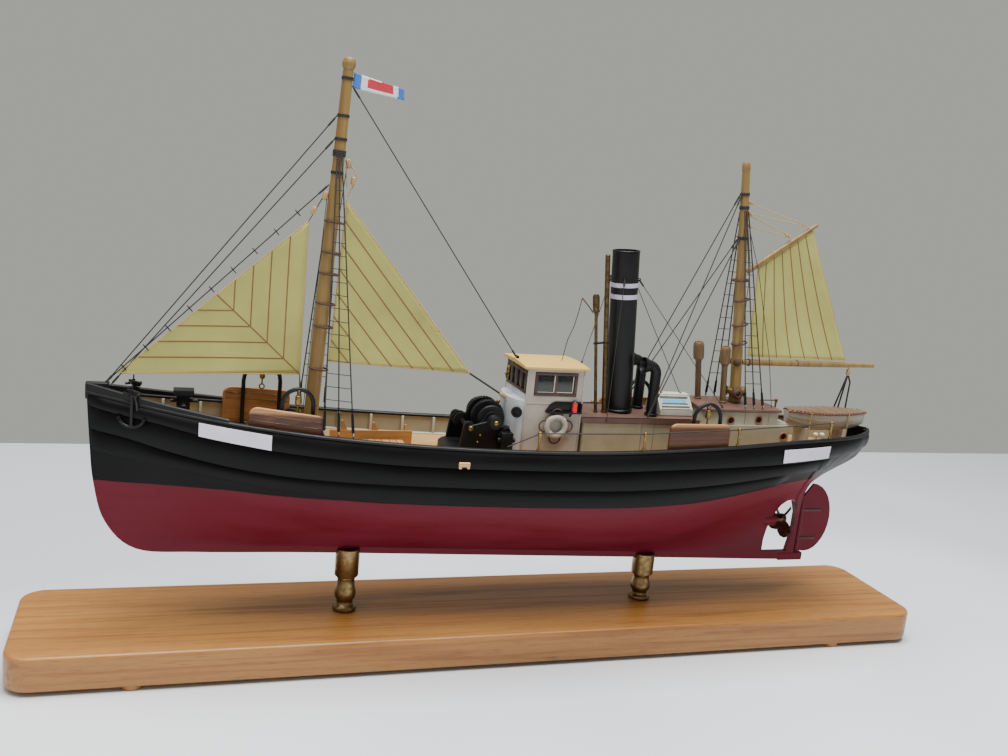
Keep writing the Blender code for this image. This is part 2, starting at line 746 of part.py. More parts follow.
def make_winch(black):
    """Frame with two bored cheeks, and the shaft that carries the drums and warping heads."""
    ground = deck(-55) + SEAT
    plate = seated(extrude(arc(-36.5, 0, 20.0, 21.0, 0, 345, 23), "Z", ground, ground + 4.6), ground)
    x, z = SECOND_SHAFT
    cheeks = []
    for y in (-17.0, 14.5):
        outline = [(-48, ground + 1), (-21, ground + 1), (-21.6, WINCH_Z - 5)]
        outline += arc(WINCH_X, WINCH_Z, 5.4, 5.4, 0, 160, 8)
        outline += [(-37, 150.5)] + arc(x, z, 3.6, 3.6, 60, 180, 4)
        cheeks.append(extrude(outline, "Y", y, y + 2.5))
    block = box((-25, -20), (-16, 16), (ground + 1, 142))
    second = turned(((1.5, 0), (1.5, 6.0), (2.9, 6.3), (2.9, 8.0), (1.3, 8.4), (1.3, 22.0), (5.0, 22.4), (5.0, 23.6),
                     (2.8, 24.0), (2.8, 27.0), (5.0, 27.4), (5.0, 28.6), (1.3, 29.0), (1.3, 38.0)),
                    (x, -20.5, z), (0, 1, 0), 14)
    cheeks.append(second)
    locker = box((-21.5, -16.0), (-19.5, -14.5), (ground + 3, 152.5))
    cheeks.append(locker)
    bore = rod((WINCH_X, -30, WINCH_Z), (WINCH_X, 30, WINCH_Z), 2.4, 16)
    drum_space = rod((WINCH_X, -14.4, WINCH_Z), (WINCH_X, 14.4, WINCH_Z), 10.9, 24)
    frame = joined([plate, *cheeks, block], [bore, drum_space])
    node("winch_frame", frame, black)
    half = ((0.9, 25.0), (4.2, 24.6), (4.2, 23.4), (2.8, 22.2), (2.8, 19.4), (4.2, 18.4), (2.1, 18.2), (2.1, 14.3),
            (8.6, 14.1), (8.6, 11.8), (5.2, 11.6), (5.2, 6.4), (10.4, 6.2), (10.4, 3.6), (6.0, 3.4))
    profile = [(r, -y) for r, y in half] + [(r, y) for r, y in reversed(half)]
    node("winch_drum", turned(profile, (WINCH_X, 0, WINCH_Z), (0, 1, 0), 16), black)


def make_wheelhouse(grey, roof_wood, frame_wood):
    low = deck(WHEELHOUSE[0]) + SEAT
    x0, x1 = WHEELHOUSE
    half = WHEELHOUSE_HALF
    walls = box((x0, x1), (-half, half), (low, WHEELHOUSE_TOP))
    seam = x0 + WALL / 2
    outline = [(seam, 19.0)] + [(x0 - GAP - v, u) for u, v in arc(0, 0, 19.0, BULGE, 8, 172, 14)]
    outline += [(seam, -19.0)]
    front = extrude(outline, "Z", low, BULGE_TOP)
    room = box((x0 + WALL, x1 - WALL), (-half + WALL, half - WALL), (low - 5, WHEELHOUSE_TOP + 5))
    wx0, wx1, wz0, wz1 = SIDE_WINDOW
    holes = [room, box((wx0, wx1), (-half - 5, half + 5), (wz0, wz1))]
    holes.append(box((x0 - 5, x0 + WALL + 0.4), (-FRONT_WINDOW_HALF, FRONT_WINDOW_HALF), (SILL, HEAD)))
    node("wheelhouse", joined([walls, front], holes), grey)
    for side, y in (("port", -half - 0.4), ("starboard", half - WALL - 0.1)):
        y_pair = (y, y + WALL + 0.5)
        frame = box((wx0 + GAP, wx1 - GAP), y_pair, (wz0 + GAP, wz1 - GAP))
        cuts = []
        middle = (wx0 + wx1) / 2
        for a, b in ((wx0 + 2, middle - 0.6), (middle + 0.6, wx1 - 2)):
            cuts.append(box((a, b), (y - 3, y + 0.7), (wz0 + 2, wz1 - 2)))
            cuts.append(box((a, b), (y + WALL - 0.2, y + 6), (wz0 + 2, wz1 - 2)))
        node("window_" + side, joined([frame], cuts), frame_wood)
    frame = box((x0 - 0.4, x0 + WALL + 0.1), (-FRONT_WINDOW_HALF + GAP, FRONT_WINDOW_HALF - GAP),
                (SILL + GAP, HEAD - GAP))
    cuts = []
    pitch = 2 * FRONT_WINDOW_HALF / FRONT_WINDOWS
    for k in range(FRONT_WINDOWS):
        a = -FRONT_WINDOW_HALF + k * pitch + 1.3
        b = a + pitch - 2.6
        cuts.append(box((x0 - 4, x0 + 0.3), (a, b), (SILL + 2, HEAD - 2)))
        cuts.append(box((x0 + 1.0, x0 + 6), (a, b), (SILL + 2, HEAD - 2)))
    node("window_front", joined([frame], cuts), frame_wood)
    rings = []
    for x in (x0 - 2.8, x1 + 2.6):
        z = WHEELHOUSE_TOP + GAP
        crown = [(x, y, z + 1.6 + 1.2 * (1 - (y / 22.4) ** 2)) for y in (-22.4, -15, -7.5, 0, 7.5, 15, 22.4)]
        rings.append([(x, -22.4, z)] + crown + [(x, 22.4, z)])
    node("wheelhouse_roof", loft(rings), roof_wood)


def house(x0, x1, half, top, steps=8):
    """A deckhouse whose foot follows the deck."""
    rings = []
    for k in range(steps + 1):
        x = x0 + (x1 - x0) * k / steps
        z = deck(x) + SEAT
        rings.append([(x, -half, z), (x, half, z), (x, half, top), (x, -half, top)])
    return loft(rings)


def roof(x0, x1, half, z, crown, thick=2.0):
    rings = []
    for x in (x0, x1):
        top = [(x, y, z + thick + crown * (1 - (y / half) ** 2))
               for y in (-half, -half * 0.66, -half * 0.33, 0, half * 0.33, half * 0.66, half)]
        rings.append([(x, -half, z)] + top + [(x, half, z)])
    return loft(rings)


def make_casing(beige, roof_wood, white):
    x0, x1 = CASING
    node("engine_casing", house(x0, x1, CASING_HALF, CASING_TOP), beige)
    node("casing_roof", roof(x0 - 1.6, x1, CASING_HALF + 1.2, CASING_TOP + GAP, 0.0, ROOF_THICK), roof_wood)
    low = ROOF_TOP + GAP
    x0, x1, half = SKYLIGHT
    rings = []
    for z, inset in ((low, 0), (low + 4, 0), (low + 12.5, 7.5), (low + 13.5, 7.5)):
        rings.append([(x0, -half + inset, z), (x1, -half + inset, z), (x1, half - inset, z), (x0, half - inset, z)])
    node("skylight", loft(rings), white)


def make_after_house(beige, roof_wood):
    x0, x1 = TRUNK
    low = house(AFTER_HOUSE[0], AFTER_HOUSE[1], AFTER_HALF, AFTER_TOP)
    trunk = box((x0, x1), (-TRUNK_HALF, TRUNK_HALF), (AFTER_TOP - 3, TRUNK_TOP))
    node("after_house", joined([low, trunk]), beige)
    node("cabin_roof", roof(x0 - 1.0, x1 + 1.6, TRUNK_HALF + 1.4, TRUNK_TOP + GAP, 0.8, 2.0), roof_wood)


def make_funnel(black):
    foot = Vector((FUNNEL_FOOT[0], 0, FUNNEL_FOOT[1]))
    head = Vector((FUNNEL_HEAD[0], 0, FUNNEL_HEAD[1]))
    tall = (head - foot).length
    r = FUNNEL_RADIUS
    body = turned(((r + 0.6, 1.5), (r + 0.6, 3.0), (r, 3.2), (r, tall)), foot, head - foot, 28)
    hole = turned(((r - 1.0, tall - 14), (r - 1.0, tall + 4)), foot, head - foot, 28)
    node("funnel", joined([body], [hole]), black)


def make_pipes(brass, black, wood):
    base = ROOF_TOP + GAP + 0.2
    whistle = Vector((48.8, -5.0, base))
    whistle_top = Vector((39.6, -5.0, 239.0))
    tall = (whistle_top - whistle).length
    profile = ((1.1, 0), (1.1, tall - 13), (2.1, tall - 11), (2.3, tall - 2), (1.8, tall))
    steam = Vector((55.0, -5.0, base))
    steam_top = Vector((44.6, -5.0, 265.4))
    clamp = rod(whistle.lerp(whistle_top, 0.59), steam.lerp(steam_top, 0.45), 0.9, 8)
    bodies = [turned(profile, whistle, whistle_top - whistle, 12), rod(steam, steam_top, 1.7, 12), clamp]
    node("steam_pipes", joined(bodies), brass)
    x, y, top = COWL
    for side, sign in (("port", -1), ("starboard", 1)):
        path = [(x, sign * y, base)] + [(u, sign * y, v) for u, v in arc(x - 6.0, top - 10.0, 6.0, 6.0, 0, 80, 6)]
        stem = tube(path, 3.6, 14)
        mouth = turned(((3.6, 0), (5.0, 3.4), (5.4, 5.6)), (x - 4.6, sign * y, top - 4.3), (-1, 0, 0.08), 16)
        hollow = turned(((3.6, 0), (4.6, 5.0)), (x - 6.6, sign * y, top - 4.2), (-1, 0, 0.08), 16)
        node("cowl_" + side, joined([stem, mouth], [hollow]), black)
    post = Vector((132.0, 8.0, TRUNK_TOP + 3.7))
    lean = Vector((127.0, 8.0, 209.5)) - post
    tall = lean.length
    profile = ((2.1, 0), (2.1, tall - 14), (3.6, tall - 12), (3.8, tall - 2.4), (3.2, tall))
    node("vent_fore", turned(profile, post, lean, 14), wood)
    post = Vector((145.0, -4.0, TRUNK_TOP + 3.7))
    lean = Vector((141.6, -4.0, 208.8)) - post
    tall = lean.length
    profile = ((2.1, 0), (2.1, tall - 14), (3.4, tall - 12), (3.6, tall - 2.4), (3.0, tall))
    node("vent_aft", turned(profile, post, lean, 14), wood)


def make_lifeboat(grey, cover):
    rings = []
    rim = []
    for k in range(13):
        t = k / 12
        x = 201.0 + 66.6 * t
        swell = math.sin(math.pi * (0.03 + 0.94 * t)) ** 0.5
        half = 10.0 * swell
        lift = 0.7 * (2 * t - 1) ** 2
        top = 163.5 + lift
        bottom = 149.5 + 5.5 * abs(2 * t - 1) ** 3
        side = [(half, 0.0), (half * 0.97, 0.28), (half * 0.82, 0.58), (half * 0.5, 0.85), (0.7, 1.0)]
        points = [Vector((x, -w, top + (bottom - top) * d)) for w, d in side]
        rings.append(port_and_starboard(points))
        rim.append((x, half, top))
    chocks = []
    for x in (216.0, 248.0):
        low = deck(x + 2) + SEAT
        chocks.append(box((x - 1.5, x + 1.5), (-7.5, 7.5), (low, 152.0)))
    node("lifeboat", joined([loft(rings), *chocks]), grey)
    rings = []
    for x, half, top in rim:
        low = top + GAP
        rings.append([(x, -half, low), (x, -half - 0.7, low + 0.7), (x, -half * 0.8, low + 1.6), (x, 0, low + 3.0),
                      (x, half * 0.8, low + 1.6), (x, half + 0.7, low + 0.7), (x, half, low)])
    node("lifeboat_cover", loft(rings), cover)


def make_bow_gear(black):
    post = box((-218.6, -211.0), (-3.8, 3.8), (deck(-218.6) + SEAT, 165.0))
    cap = box((-220.5, -208.8), (-4.6, 4.6), (163.8, 167.0))
    arm = rod((-214.8, -10, 158), (-214.8, 10, 158), 1.5, 12)
    node("bow_bitt", joined([post, cap, arm]), black)
    for name, sign in (("anchor_port", -1), ("anchor_starboard", 1)):
        x = -243.0
        shank = rod((x, beam(x) + 2.6, 169.0), (x, beam(x) + 2.6, 147.0), 1.0, 8)
        fluke = tube([(x + u, beam(x + u) + 2.6, v) for u, v in arc(0, 154.0, 7.2, 7.0, 190, 350, 8)], 1.0, 8)
        stock = rod((x - 4.6, beam(x - 4.6) + 2.9, 166.6), (x + 4.6, beam(x + 4.6) + 2.9, 166.6), 0.8, 8)
        bm = joined([shank, fluke, stock])
        if sign < 0:
            bm = mirrored(bm)
        node(name, bm, black)


def make_pound(wood):
    """A low board on the deck with three pointed knees against its starboard face."""
    low = deck(-126) + SEAT
    bodies = [seated(box((-126, -73), (6.0, 7.6), (low, low + 6.4)), low)]
    for x in (-119.0, -99.0, -78.0):
        tip = low + 12.4 + (x + 119.0) * -0.05
        outline = ((x, low), (x, tip), (x + 1.2, tip), (x + 5.0, low + 5.0), (x + 5.0, low))
        bodies.append(seated(extrude(outline, "Y", 7.0, 9.0), low))
    node("pound_board", joined(bodies), wood)


def make_life_rails(brass):
    for side, sign in (("port", -1), ("starboard", 1)):
        bodies = []
        path = []
        for x in STANCHIONS:
            y = sign * (beam(x) - 1.0)
            low = sheer(x) + CAP_HIGH + GAP
            bodies.append(turned(((1.4, 0), (1.1, 1), (0.9, 9.4), (1.4, 10.2), (1.4, 11.4), (0.7, 12.2)),
                                 (x, y, low), sides=10))
            path.append((x, y, low + 10.8))
        x = RAIL_WIRE_START
        start = (x, sign * (beam(x) - 1.0), sheer(x) + CAP_HIGH + 1.6)
        wire = tube([start] + path, 0.45, 6)
        node("life_rail_" + side, joined([*bodies, wire]), brass)


def ladder(feet, head, ratlines, rope=0.5, spread=0.9):
    """Shrouds from a row of feet to one head, crossed by ratlines, as one flat lattice."""
    feet = [Vector(p) for p in feet]
    head = Vector(head)
    lengthwise = (feet[-1] - feet[0]).normalized()
    outward = lengthwise.cross(head - feet[1]).normalized()
    columns = []
    for i, foot in enumerate(feet):
        tip = head + lengthwise * spread * (i - (len(feet) - 1) / 2) * 2
        for shift in (-rope, rope):
            columns.append((foot + lengthwise * shift, tip + lengthwise * shift * 0.7))
    rows = [0.0]
    for k in range(ratlines):
        level = 0.12 + 0.8 * k / (ratlines - 1)
        rows += [level - 0.0028, level + 0.0028]
    rows.append(1.0)
    bm = bmesh.new()
    layers = []
    for offset in (-rope, rope):
        layers.append([[bm.verts.new(low.lerp(high, level) + outward * offset) for low, high in columns]
                       for level in rows])
    solid = {}
    for r in range(len(rows) - 1):
        for c in range(len(columns) - 1):
            solid[r, c] = c % 2 == 0 or r % 2 == 1
    for (r, c), filled in solid.items():
        if not filled:
            continue
        near, far = layers
        bm.faces.new((near[r][c], near[r + 1][c], near[r + 1][c + 1], near[r][c + 1]))
        bm.faces.new((far[r][c], far[r][c + 1], far[r + 1][c + 1], far[r + 1][c]))
        for dr, dc, a, b in ((-1, 0, (r, c), (r, c + 1)), (1, 0, (r + 1, c + 1), (r + 1, c)),
                             (0, -1, (r + 1, c), (r, c)), (0, 1, (r, c + 1), (r + 1, c + 1))):
            if not solid.get((r + dr, c + dc), False):
                bm.faces.new((near[a[0]][a[1]], near[b[0]][b[1]], far[b[0]][b[1]], far[a[0]][a[1]]))
    loose = [v for v in bm.verts if not v.link_faces]
    bmesh.ops.delete(bm, geom=loose, context="VERTS")
    bmesh.ops.recalc_face_normals(bm, faces=bm.faces)
    return bm


def make_rigging(rope):
    mast = along(FORE_HEEL, FORE_HEAD, 308)
    for side, sign in (("port", -1), ("starboard", 1)):
        feet = []
        for x in (-136.6, -128.0, -119.4):
            x -= FORE_SHROUD_SHIFT if side == "starboard" else 0
            feet.append((x, sign * (beam(x) - 0.4), sheer(x) + CAP_HIGH + GAP + 0.7))
        head = (mast.x, sign * 4.6, mast.z)
        node("fore_shrouds_" + side, ladder(feet, head, 18), rope)
    mast = along(MIZZEN_HEEL, MIZZEN_HEAD, 300)
    for side, sign in (("port", -1), ("starboard", 1)):
        shift = MIZZEN_SHROUD_SHIFT if side == "starboard" else 0
        feet = [(x - shift, sign * (TRUNK_HALF + 0.2), TRUNK_TOP + GAP + 3.0) for x in (154.0, 161.0, 168.0)]
        head = (mast.x, sign * 4.0, mast.z)
        node("mizzen_shrouds_" + side, ladder(feet, head, 14), rope)
    node("forestay", rod(stay_point(STAY_FOOT[0]), stay_point(STAY_HEAD[0]), 0.5, 6), rope)


def make_fittings(black, white):
    y = WHEELHOUSE_HALF + GAP
    for side, sign in (("port", -1), ("starboard", 1)):
        near = sign * y
        far = sign * (y + 3.4)
        board = box((6.0, 30.6), (min(near, far), max(near, far)), (162.8, 164.2))
        back = box((6.0, 30.6), (min(near, near + sign * 1.2), max(near, near + sign * 1.2)), (162.8, 170.4))
        node("sidelight_" + side, joined([board, back]), black)
        hoop = ring((LIFE_RING[0], near + sign * (LIFE_RING[3] + 0.1), LIFE_RING[1]), LIFE_RING[2], LIFE_RING[3],
                    (0, 1, 0), 20, 8)
        node("life_ring_" + side, hoop, white)


def main():
    clear_scene()
    oak = paint("oak", "C09560", 0.45)
    brass = paint("brass", "A08A50", 0.32, 1.0)
    red = paint("red_paint", "7A2630", 0.5)
    black = paint("black_paint", "26272A", 0.5)
    planks = paint("deck_planks", "C9A878", 0.6)
    spar = paint("spar_wood", "C99A5E", 0.5)
    cloth = paint("sailcloth", "BDB87E", 0.85)
    flag_cloth = paint("flag_cloth", "D9D9DD", 0.8)
    door_wood = paint("door_wood", "9C683F", 0.5)
    grey = paint("warm_grey_paint", "B9B0A6", 0.5)
    beige = paint("beige_paint", "C3B99F", 0.5)
    white = paint("white_paint", "D8D6D2", 0.45)
    roof_wood = paint("roof_wood", "E3C98F", 0.5)
    brown = paint("brown_paint", "8F6E66", 0.5)
    frame_wood = paint("frame_wood", "6A3F30", 0.5)
    rope = paint("dark_cord", "2B2724", 0.8)
    cover = paint("boat_cover", "D3A878", 0.8)
    make_plinth(oak)
    make_pedestals(brass)
    make_hull(red)
    make_deck(planks)
    make_bulwark(black)
    make_rudder(red)
    make_propeller(brass)
    make_masts(spar)
    make_boom_and_gaff(spar)
    make_sails(cloth)
    make_flag(flag_cloth)
    make_gallows(black)
    make_doors(door_wood)
    make_winch(black)
    make_wheelhouse(grey, roof_wood, frame_wood)
    make_casing(beige, brown, white)
    make_after_house(beige, brown)
    make_funnel(black)
    make_pipes(brass, black, spar)
    make_lifeboat(grey, cover)
    make_bow_gear(black)
    make_pound(door_wood)
    make_life_rails(brass)
    make_rigging(rope)
    make_fittings(black, white)


main()
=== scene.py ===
"""Display model of a steam fishing trawler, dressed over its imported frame.

Sizes are in millimetres in the frame's axes: X runs from the bow to the stern, port is -Y.
"""
import bpy
import bmesh
import json
import math
from mathutils import Matrix, Vector
from mathutils.bvhtree import BVHTree

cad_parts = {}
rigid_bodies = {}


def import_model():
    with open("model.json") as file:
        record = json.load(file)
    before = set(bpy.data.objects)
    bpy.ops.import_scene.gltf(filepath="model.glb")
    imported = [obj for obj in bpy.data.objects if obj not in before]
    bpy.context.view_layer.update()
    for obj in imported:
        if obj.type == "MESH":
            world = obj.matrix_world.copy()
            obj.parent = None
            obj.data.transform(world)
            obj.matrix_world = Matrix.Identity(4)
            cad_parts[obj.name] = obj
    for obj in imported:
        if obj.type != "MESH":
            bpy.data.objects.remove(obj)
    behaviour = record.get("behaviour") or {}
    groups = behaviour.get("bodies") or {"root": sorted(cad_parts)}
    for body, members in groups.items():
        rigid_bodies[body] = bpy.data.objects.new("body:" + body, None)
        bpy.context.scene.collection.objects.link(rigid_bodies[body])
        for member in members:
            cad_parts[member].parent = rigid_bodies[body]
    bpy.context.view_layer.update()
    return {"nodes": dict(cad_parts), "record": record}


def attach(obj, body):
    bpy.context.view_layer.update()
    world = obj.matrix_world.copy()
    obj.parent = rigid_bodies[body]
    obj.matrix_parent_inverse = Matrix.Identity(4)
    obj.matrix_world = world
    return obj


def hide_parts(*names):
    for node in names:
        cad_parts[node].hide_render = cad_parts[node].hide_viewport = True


for item in list(bpy.data.objects):
    bpy.data.objects.remove(item, do_unlink=True)
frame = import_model()

MM = 0.001
ROUND = 2 * math.pi

# Corners closer than this are joined, in a piece and in a CAD node; the angles in degrees below which
# a node's faces count as flat and above which a piece's edges are eased
WELD = 0.0005
NODE_WELD = 0.002
NODE_FLAT = 0.8
EASED_FROM = 32.0

# Photograph: its width and the focal length in pixels, the sensor's width, the camera's place and turn
PHOTO_WIDE = 1008
FOCAL = 1013.1
SENSOR = 36.0
CAMERA_AT = (-228.15, -611.59, 305.49)
CAMERA_YAW = -19.1
CAMERA_PITCH = 10.95
CAMERA_ROLL = -5.73

# Studio, in metres: the table's half width and its far edge; each lamp's place, aim, size and power
TABLE_HALF = 3.0
TABLE_BACK = 0.47
LAMPS = (
    ("window_light", (-0.9, -0.5, 1.5), (0, -0.1, 0.1), 0.9, 7),
    ("ceiling_light", (0.05, -0.12, 1.5), (0.05, -0.2, 0.0), 1.0, 55),
)

# Plinth: its board (length, width, bottom, top), feet and pedestals
BOARD = (612.4, 96.2, 2.5, 23.4)
BOARD_CORNER = 14.5
BOARD_EASE = 2.2
FOOT_AT = (238.0, 40.5)
FOOT_RADIUS = 6.8
PEDESTAL_X = (-110.2, 101.8)

# Hull: half width of the stem, depth of the keel, x of the sternpost, height and thickness of the bulwark
STEM_HALF = 2.0
KEEL_DEPTH = 4.0
STERNPOST = 224.0
BULWARK = 12.0
PLANK = 1.8

# Frames: keel x, keel z, rail x, hollow near the keel, fullness near the rail
FORE_FRAMES = (
    (-267.6, 162.0, -267.2, 1.0, 1.0),
    (-265.8, 136.0, -262.0, 1.0, 1.0),
    (-263.3, 111.0, -252.0, 1.1, 1.1),
    (-256.3, 86.0, -238.0, 1.3, 1.2),
    (-238.5, 68.6, -216.0, 1.5, 1.5),
    (-203.0, 65.6, -186.0, 1.5, 2.0),
    (-140.0, 63.9, -135.0, 1.3, 2.6),
    (-60.0, 60.8, -60.0, 1.1, 3.0),
    (20.0, 57.7, 20.0, 1.1, 3.1),
    (100.0, 54.6, 100.0, 1.4, 2.9),
    (165.0, 52.0, 165.0, 3.0, 2.6),
    (203.0, 50.5, 198.0, 5.5, 2.3),
    (224.5, 49.8, 211.0, 7.5, 2.2),
)
AFT_FRAMES = (
    (224.5, 49.8, 211.0, 7.5, 2.2),
    (224.8, 78.0, 222.5, 4.5, 2.1),
    (225.6, 98.0, 232.0, 2.2, 2.0),
    (229.0, 107.5, 240.0, 1.5, 2.0),
    (238.0, 115.0, 249.0, 1.1, 2.0),
    (250.0, 121.5, 258.0, 0.9, 1.9),
    (261.0, 127.0, 265.0, 0.8, 1.8),
    (268.0, 132.5, 269.0, 0.8, 1.7),
    (271.6, 141.5, 271.8, 0.8, 1.6),
)

# The rail's half width and its height along the hull
RAIL_PLAN = (
    (-268.0, 1.6), (-256.0, 6.6), (-240.0, 13.0), (-215.0, 21.6), (-180.0, 31.0), (-130.0, 38.4),
    (-60.0, 42.8), (20.0, 44.6), (100.0, 44.8), (150.0, 43.2), (200.0, 38.6), (230.0, 32.0),
    (250.0, 23.4), (260.0, 16.2), (268.4, 8.8), (272.0, 2.2),
)
SHEER = (
    (-268.0, 163.4), (-200.0, 154.0), (-120.0, 146.6), (-40.0, 142.6), (40.0, 141.8), (120.0, 145.4),
    (200.0, 150.0), (272.4, 150.2),
)

# Lower edges of the three lapped planks, from the lowest, where each dies out, and how far they stand out
LAPS = (
    ((-264.0, 129.9), (-238.0, 126.0), (-195.0, 119.4), (-156.5, 113.3), (-116.0, 108.6), (-76.0, 107.2),
     (45.0, 104.9), (88.0, 105.8), (133.0, 110.1), (184.0, 118.4), (230.0, 126.0)),
    ((-265.0, 142.6), (-246.0, 139.5), (-221.0, 133.4), (-183.0, 126.6), (-144.0, 122.6), (-78.0, 120.0),
     (42.0, 117.5), (84.0, 118.5), (129.0, 121.4), (178.0, 126.0), (225.0, 128.0), (272.0, 132.0)),
    ((-266.0, 156.4), (-251.0, 153.6), (-230.0, 150.5), (-206.0, 145.8), (-165.0, 139.4), (-132.0, 136.3),
     (-80.0, 132.8), (40.0, 130.6), (81.0, 131.8), (126.0, 133.4), (174.0, 135.0), (210.0, 136.8),
     (240.0, 138.4), (272.0, 140.6)),
)
LAP_ENDS = (186.0, 227.0, 400.0)
LAP = 2.6

# Where the black paint meets the red
PAINT_LINE = (
    (-264.0, 111.5), (-233.0, 111.6), (-195.0, 111.6), (-156.0, 109.4), (-116.0, 108.2), (-76.0, 107.0),
    (45.0, 104.7), (88.0, 105.3), (119.0, 107.3), (184.0, 117.2), (205.0, 117.9), (240.0, 117.0),
)

# Rails, the propeller's aperture, its boss (from x, to x, radius, bore) and the sole piece
RAIL_TOP = 1.8
RAIL_OUT = 0.9
RAIL_IN = 2.8
BOW_RAIL_END = -190.0
BOW_RAIL_TOP = ((-268.0, 169.8), (-230.0, 162.8), (-190.0, 156.4))
APERTURE = ((196.8, 56.4), (218.0, 56.4), (219.6, 64.0), (221.0, 72.0), (221.6, 86.0), (220.2, 94.0),
            (214.5, 98.3), (208.5, 97.8), (204.5, 94.5), (201.5, 88.0), (198.0, 74.0), (196.8, 66.0))
SHAFT_Z = 81.6
BOSS = (176.0, 204.4, 5.2, 2.0)
SHOE = (212.0, 232.4, 49.2, 55.2, 2.4)

# Houses: from x, to x, half width and top; windows: from and to in x and z, or half width, sill and head
WHEELHOUSE = (-7.5, 31.5, 20.5, 191.0)
SIDE_WINDOW = (-2.4, 27.0, 173.6, 189.2)
FRONT_WINDOW = (19.4, 174.2, 189.2)
CASING = (34.0, 119.6, 20.0, 156.2)
ROOF_TOP = 160.1
SKYLIGHT = (93.5, 118.5, 11.5)
TRUNK = (121.8, 181.5, 19.6, 165.8)

# Spars, funnel and stay: x and z of the foot and of the head; heights of hoops; sail corners; stanchions
FOREMAST = ((-140.2, 138.0), (-130.1, 367.0))
FORE_STEP = 290.8
MIZZEN = ((157.2, 169.6), (139.9, 334.0))
FUNNEL = ((67.6, 159.6), (59.6, 269.0))
FUNNEL_RADIUS = 9.0
MAST_HOOPS = (182.3, 208.4, 222.5, 240.6, 253.3, 271.6)
MIZZEN_HOOPS = (210.9, 223.9, 241.1)
STAY = ((-258.8, 168.8), (-137.9, 292.7))
JIB_CLEW = (-147.8, 178.4)
JIB_HEAD = (-147.9, 270.8)
TRYSAIL_CLEW = (-40.0, 182.6)
STANCHIONS = (-4.0, 68.0, 137.5, 215.0)

# Boat: the bow's x, its length and half width, and the rise of its sides towards the ends
BOAT_FROM = 201.0
BOAT_LONG = 66.6
BOAT_HALF = 10.0
BOAT_RISE = 0.7


# Colours and shader nodes

def linear(colour):
    """A hex sRGB colour as the linear values a shader takes."""
    values = [int(colour[i:i + 2], 16) / 255 for i in (0, 2, 4)]
    return (*[v / 12.92 if v <= 0.04045 else ((v + 0.055) / 1.055) ** 2.4 for v in values], 1.0)


def add(tree, kind, inputs=None, **settings):
    """A shader node with its settings; each input takes a value or another node's socket."""
    node = tree.nodes.new("ShaderNode" + kind)
    for name, value in settings.items():
        setattr(node, name, value)
    for key, value in (inputs or {}).items():
        if isinstance(value, bpy.types.NodeSocket):
            tree.links.new(value, node.inputs[key])
        else:
            node.inputs[key].default_value = value
    return node


def begin(name, colour, rough, metal=0.0):
    """A new material with its tree and its shader."""
    material = bpy.data.materials.new(name)
    material.use_nodes = True
    material.diffuse_color = linear(colour)
    tree = material.node_tree
    shader = tree.nodes["Principled BSDF"]
    shader.inputs["Base Color"].default_value = linear(colour)
    shader.inputs["Roughness"].default_value = rough
    shader.inputs["Metallic"].default_value = metal
    return material, tree, shader


def mottling(tree, size, detail=3.0, twist=0.0):
    """Soft patches, whose size in millimetres is given along each axis, as a value about 0.5."""
    place = add(tree, "TexCoord")
    scale = [1 / (s * MM) for s in size]
    laid = add(tree, "Mapping", {0: place.outputs["Object"], 3: scale})
    cloud = add(tree, "TexNoise", {"Vector": laid.outputs[0], "Scale": 1.0, "Detail": detail,
                                   "Distortion": twist})
    return cloud.outputs[0]


def blend(tree, share, first, second, kind="MIX"):
    """Two colours joined by a share, as a mix or as a product."""
    joined = add(tree, "Mix", {0: share, 6: first, 7: second}, data_type="RGBA", blend_type=kind)
    return joined.outputs[2]


def between(tree, fac, low, high, first, second):
    """A colour that goes from the first to the second as fac goes from low to high."""
    return blend(tree, add(tree, "MapRange", {0: fac, 1: low, 2: high}).outputs[0], first, second)


def object_axes(tree):
    """The x, y and z of a point of the piece, in metres."""
    return add(tree, "SeparateXYZ", {0: add(tree, "TexCoord").outputs["Object"]}).outputs


def finish_surface(tree, shader, colour, gloss, rough_low, rough_high, relief, depth):
    """A colour, roughness that wanders with one pattern, and a relief in millimetres from another."""
    if colour is not None:
        tree.links.new(colour, shader.inputs["Base Color"])
    rough = add(tree, "MapRange", {0: gloss, 1: 0.3, 2: 0.7, 3: rough_low, 4: rough_high})
    tree.links.new(rough.outputs[0], shader.inputs["Roughness"])
    bump = add(tree, "Bump", {"Height": relief, "Strength": 1.0, "Distance": depth * MM})
    tree.links.new(bump.outputs[0], shader.inputs["Normal"])


# Materials

def wood(name, light, dark, axis, rough=0.45, pore=1.0, band=3.0, ring=0.5):
    """Planed and varnished wood: growth bands drawn out along one axis and fine dark pores."""
    material, tree, shader = begin(name, light, rough)
    bands = [band] * 3
    bands[axis] = band * 22
    pores = [0.45] * 3
    pores[axis] = 9.0
    figure = mottling(tree, bands, 5.0, 0.6)
    fine = mottling(tree, pores, 2.0)
    colour = between(tree, figure, 0.5 - ring / 2.6, 0.5 + ring / 2.6, linear(light), linear(dark))
    shade = between(tree, fine, 0.56, 0.74, (1, 1, 1, 1), (0.78, 0.7, 0.62, 1))
    mixed = blend(tree, pore, colour, shade, "MULTIPLY")
    finish_surface(tree, shader, mixed, figure, rough - 0.07, rough + 0.1, fine, 0.04)
    return material


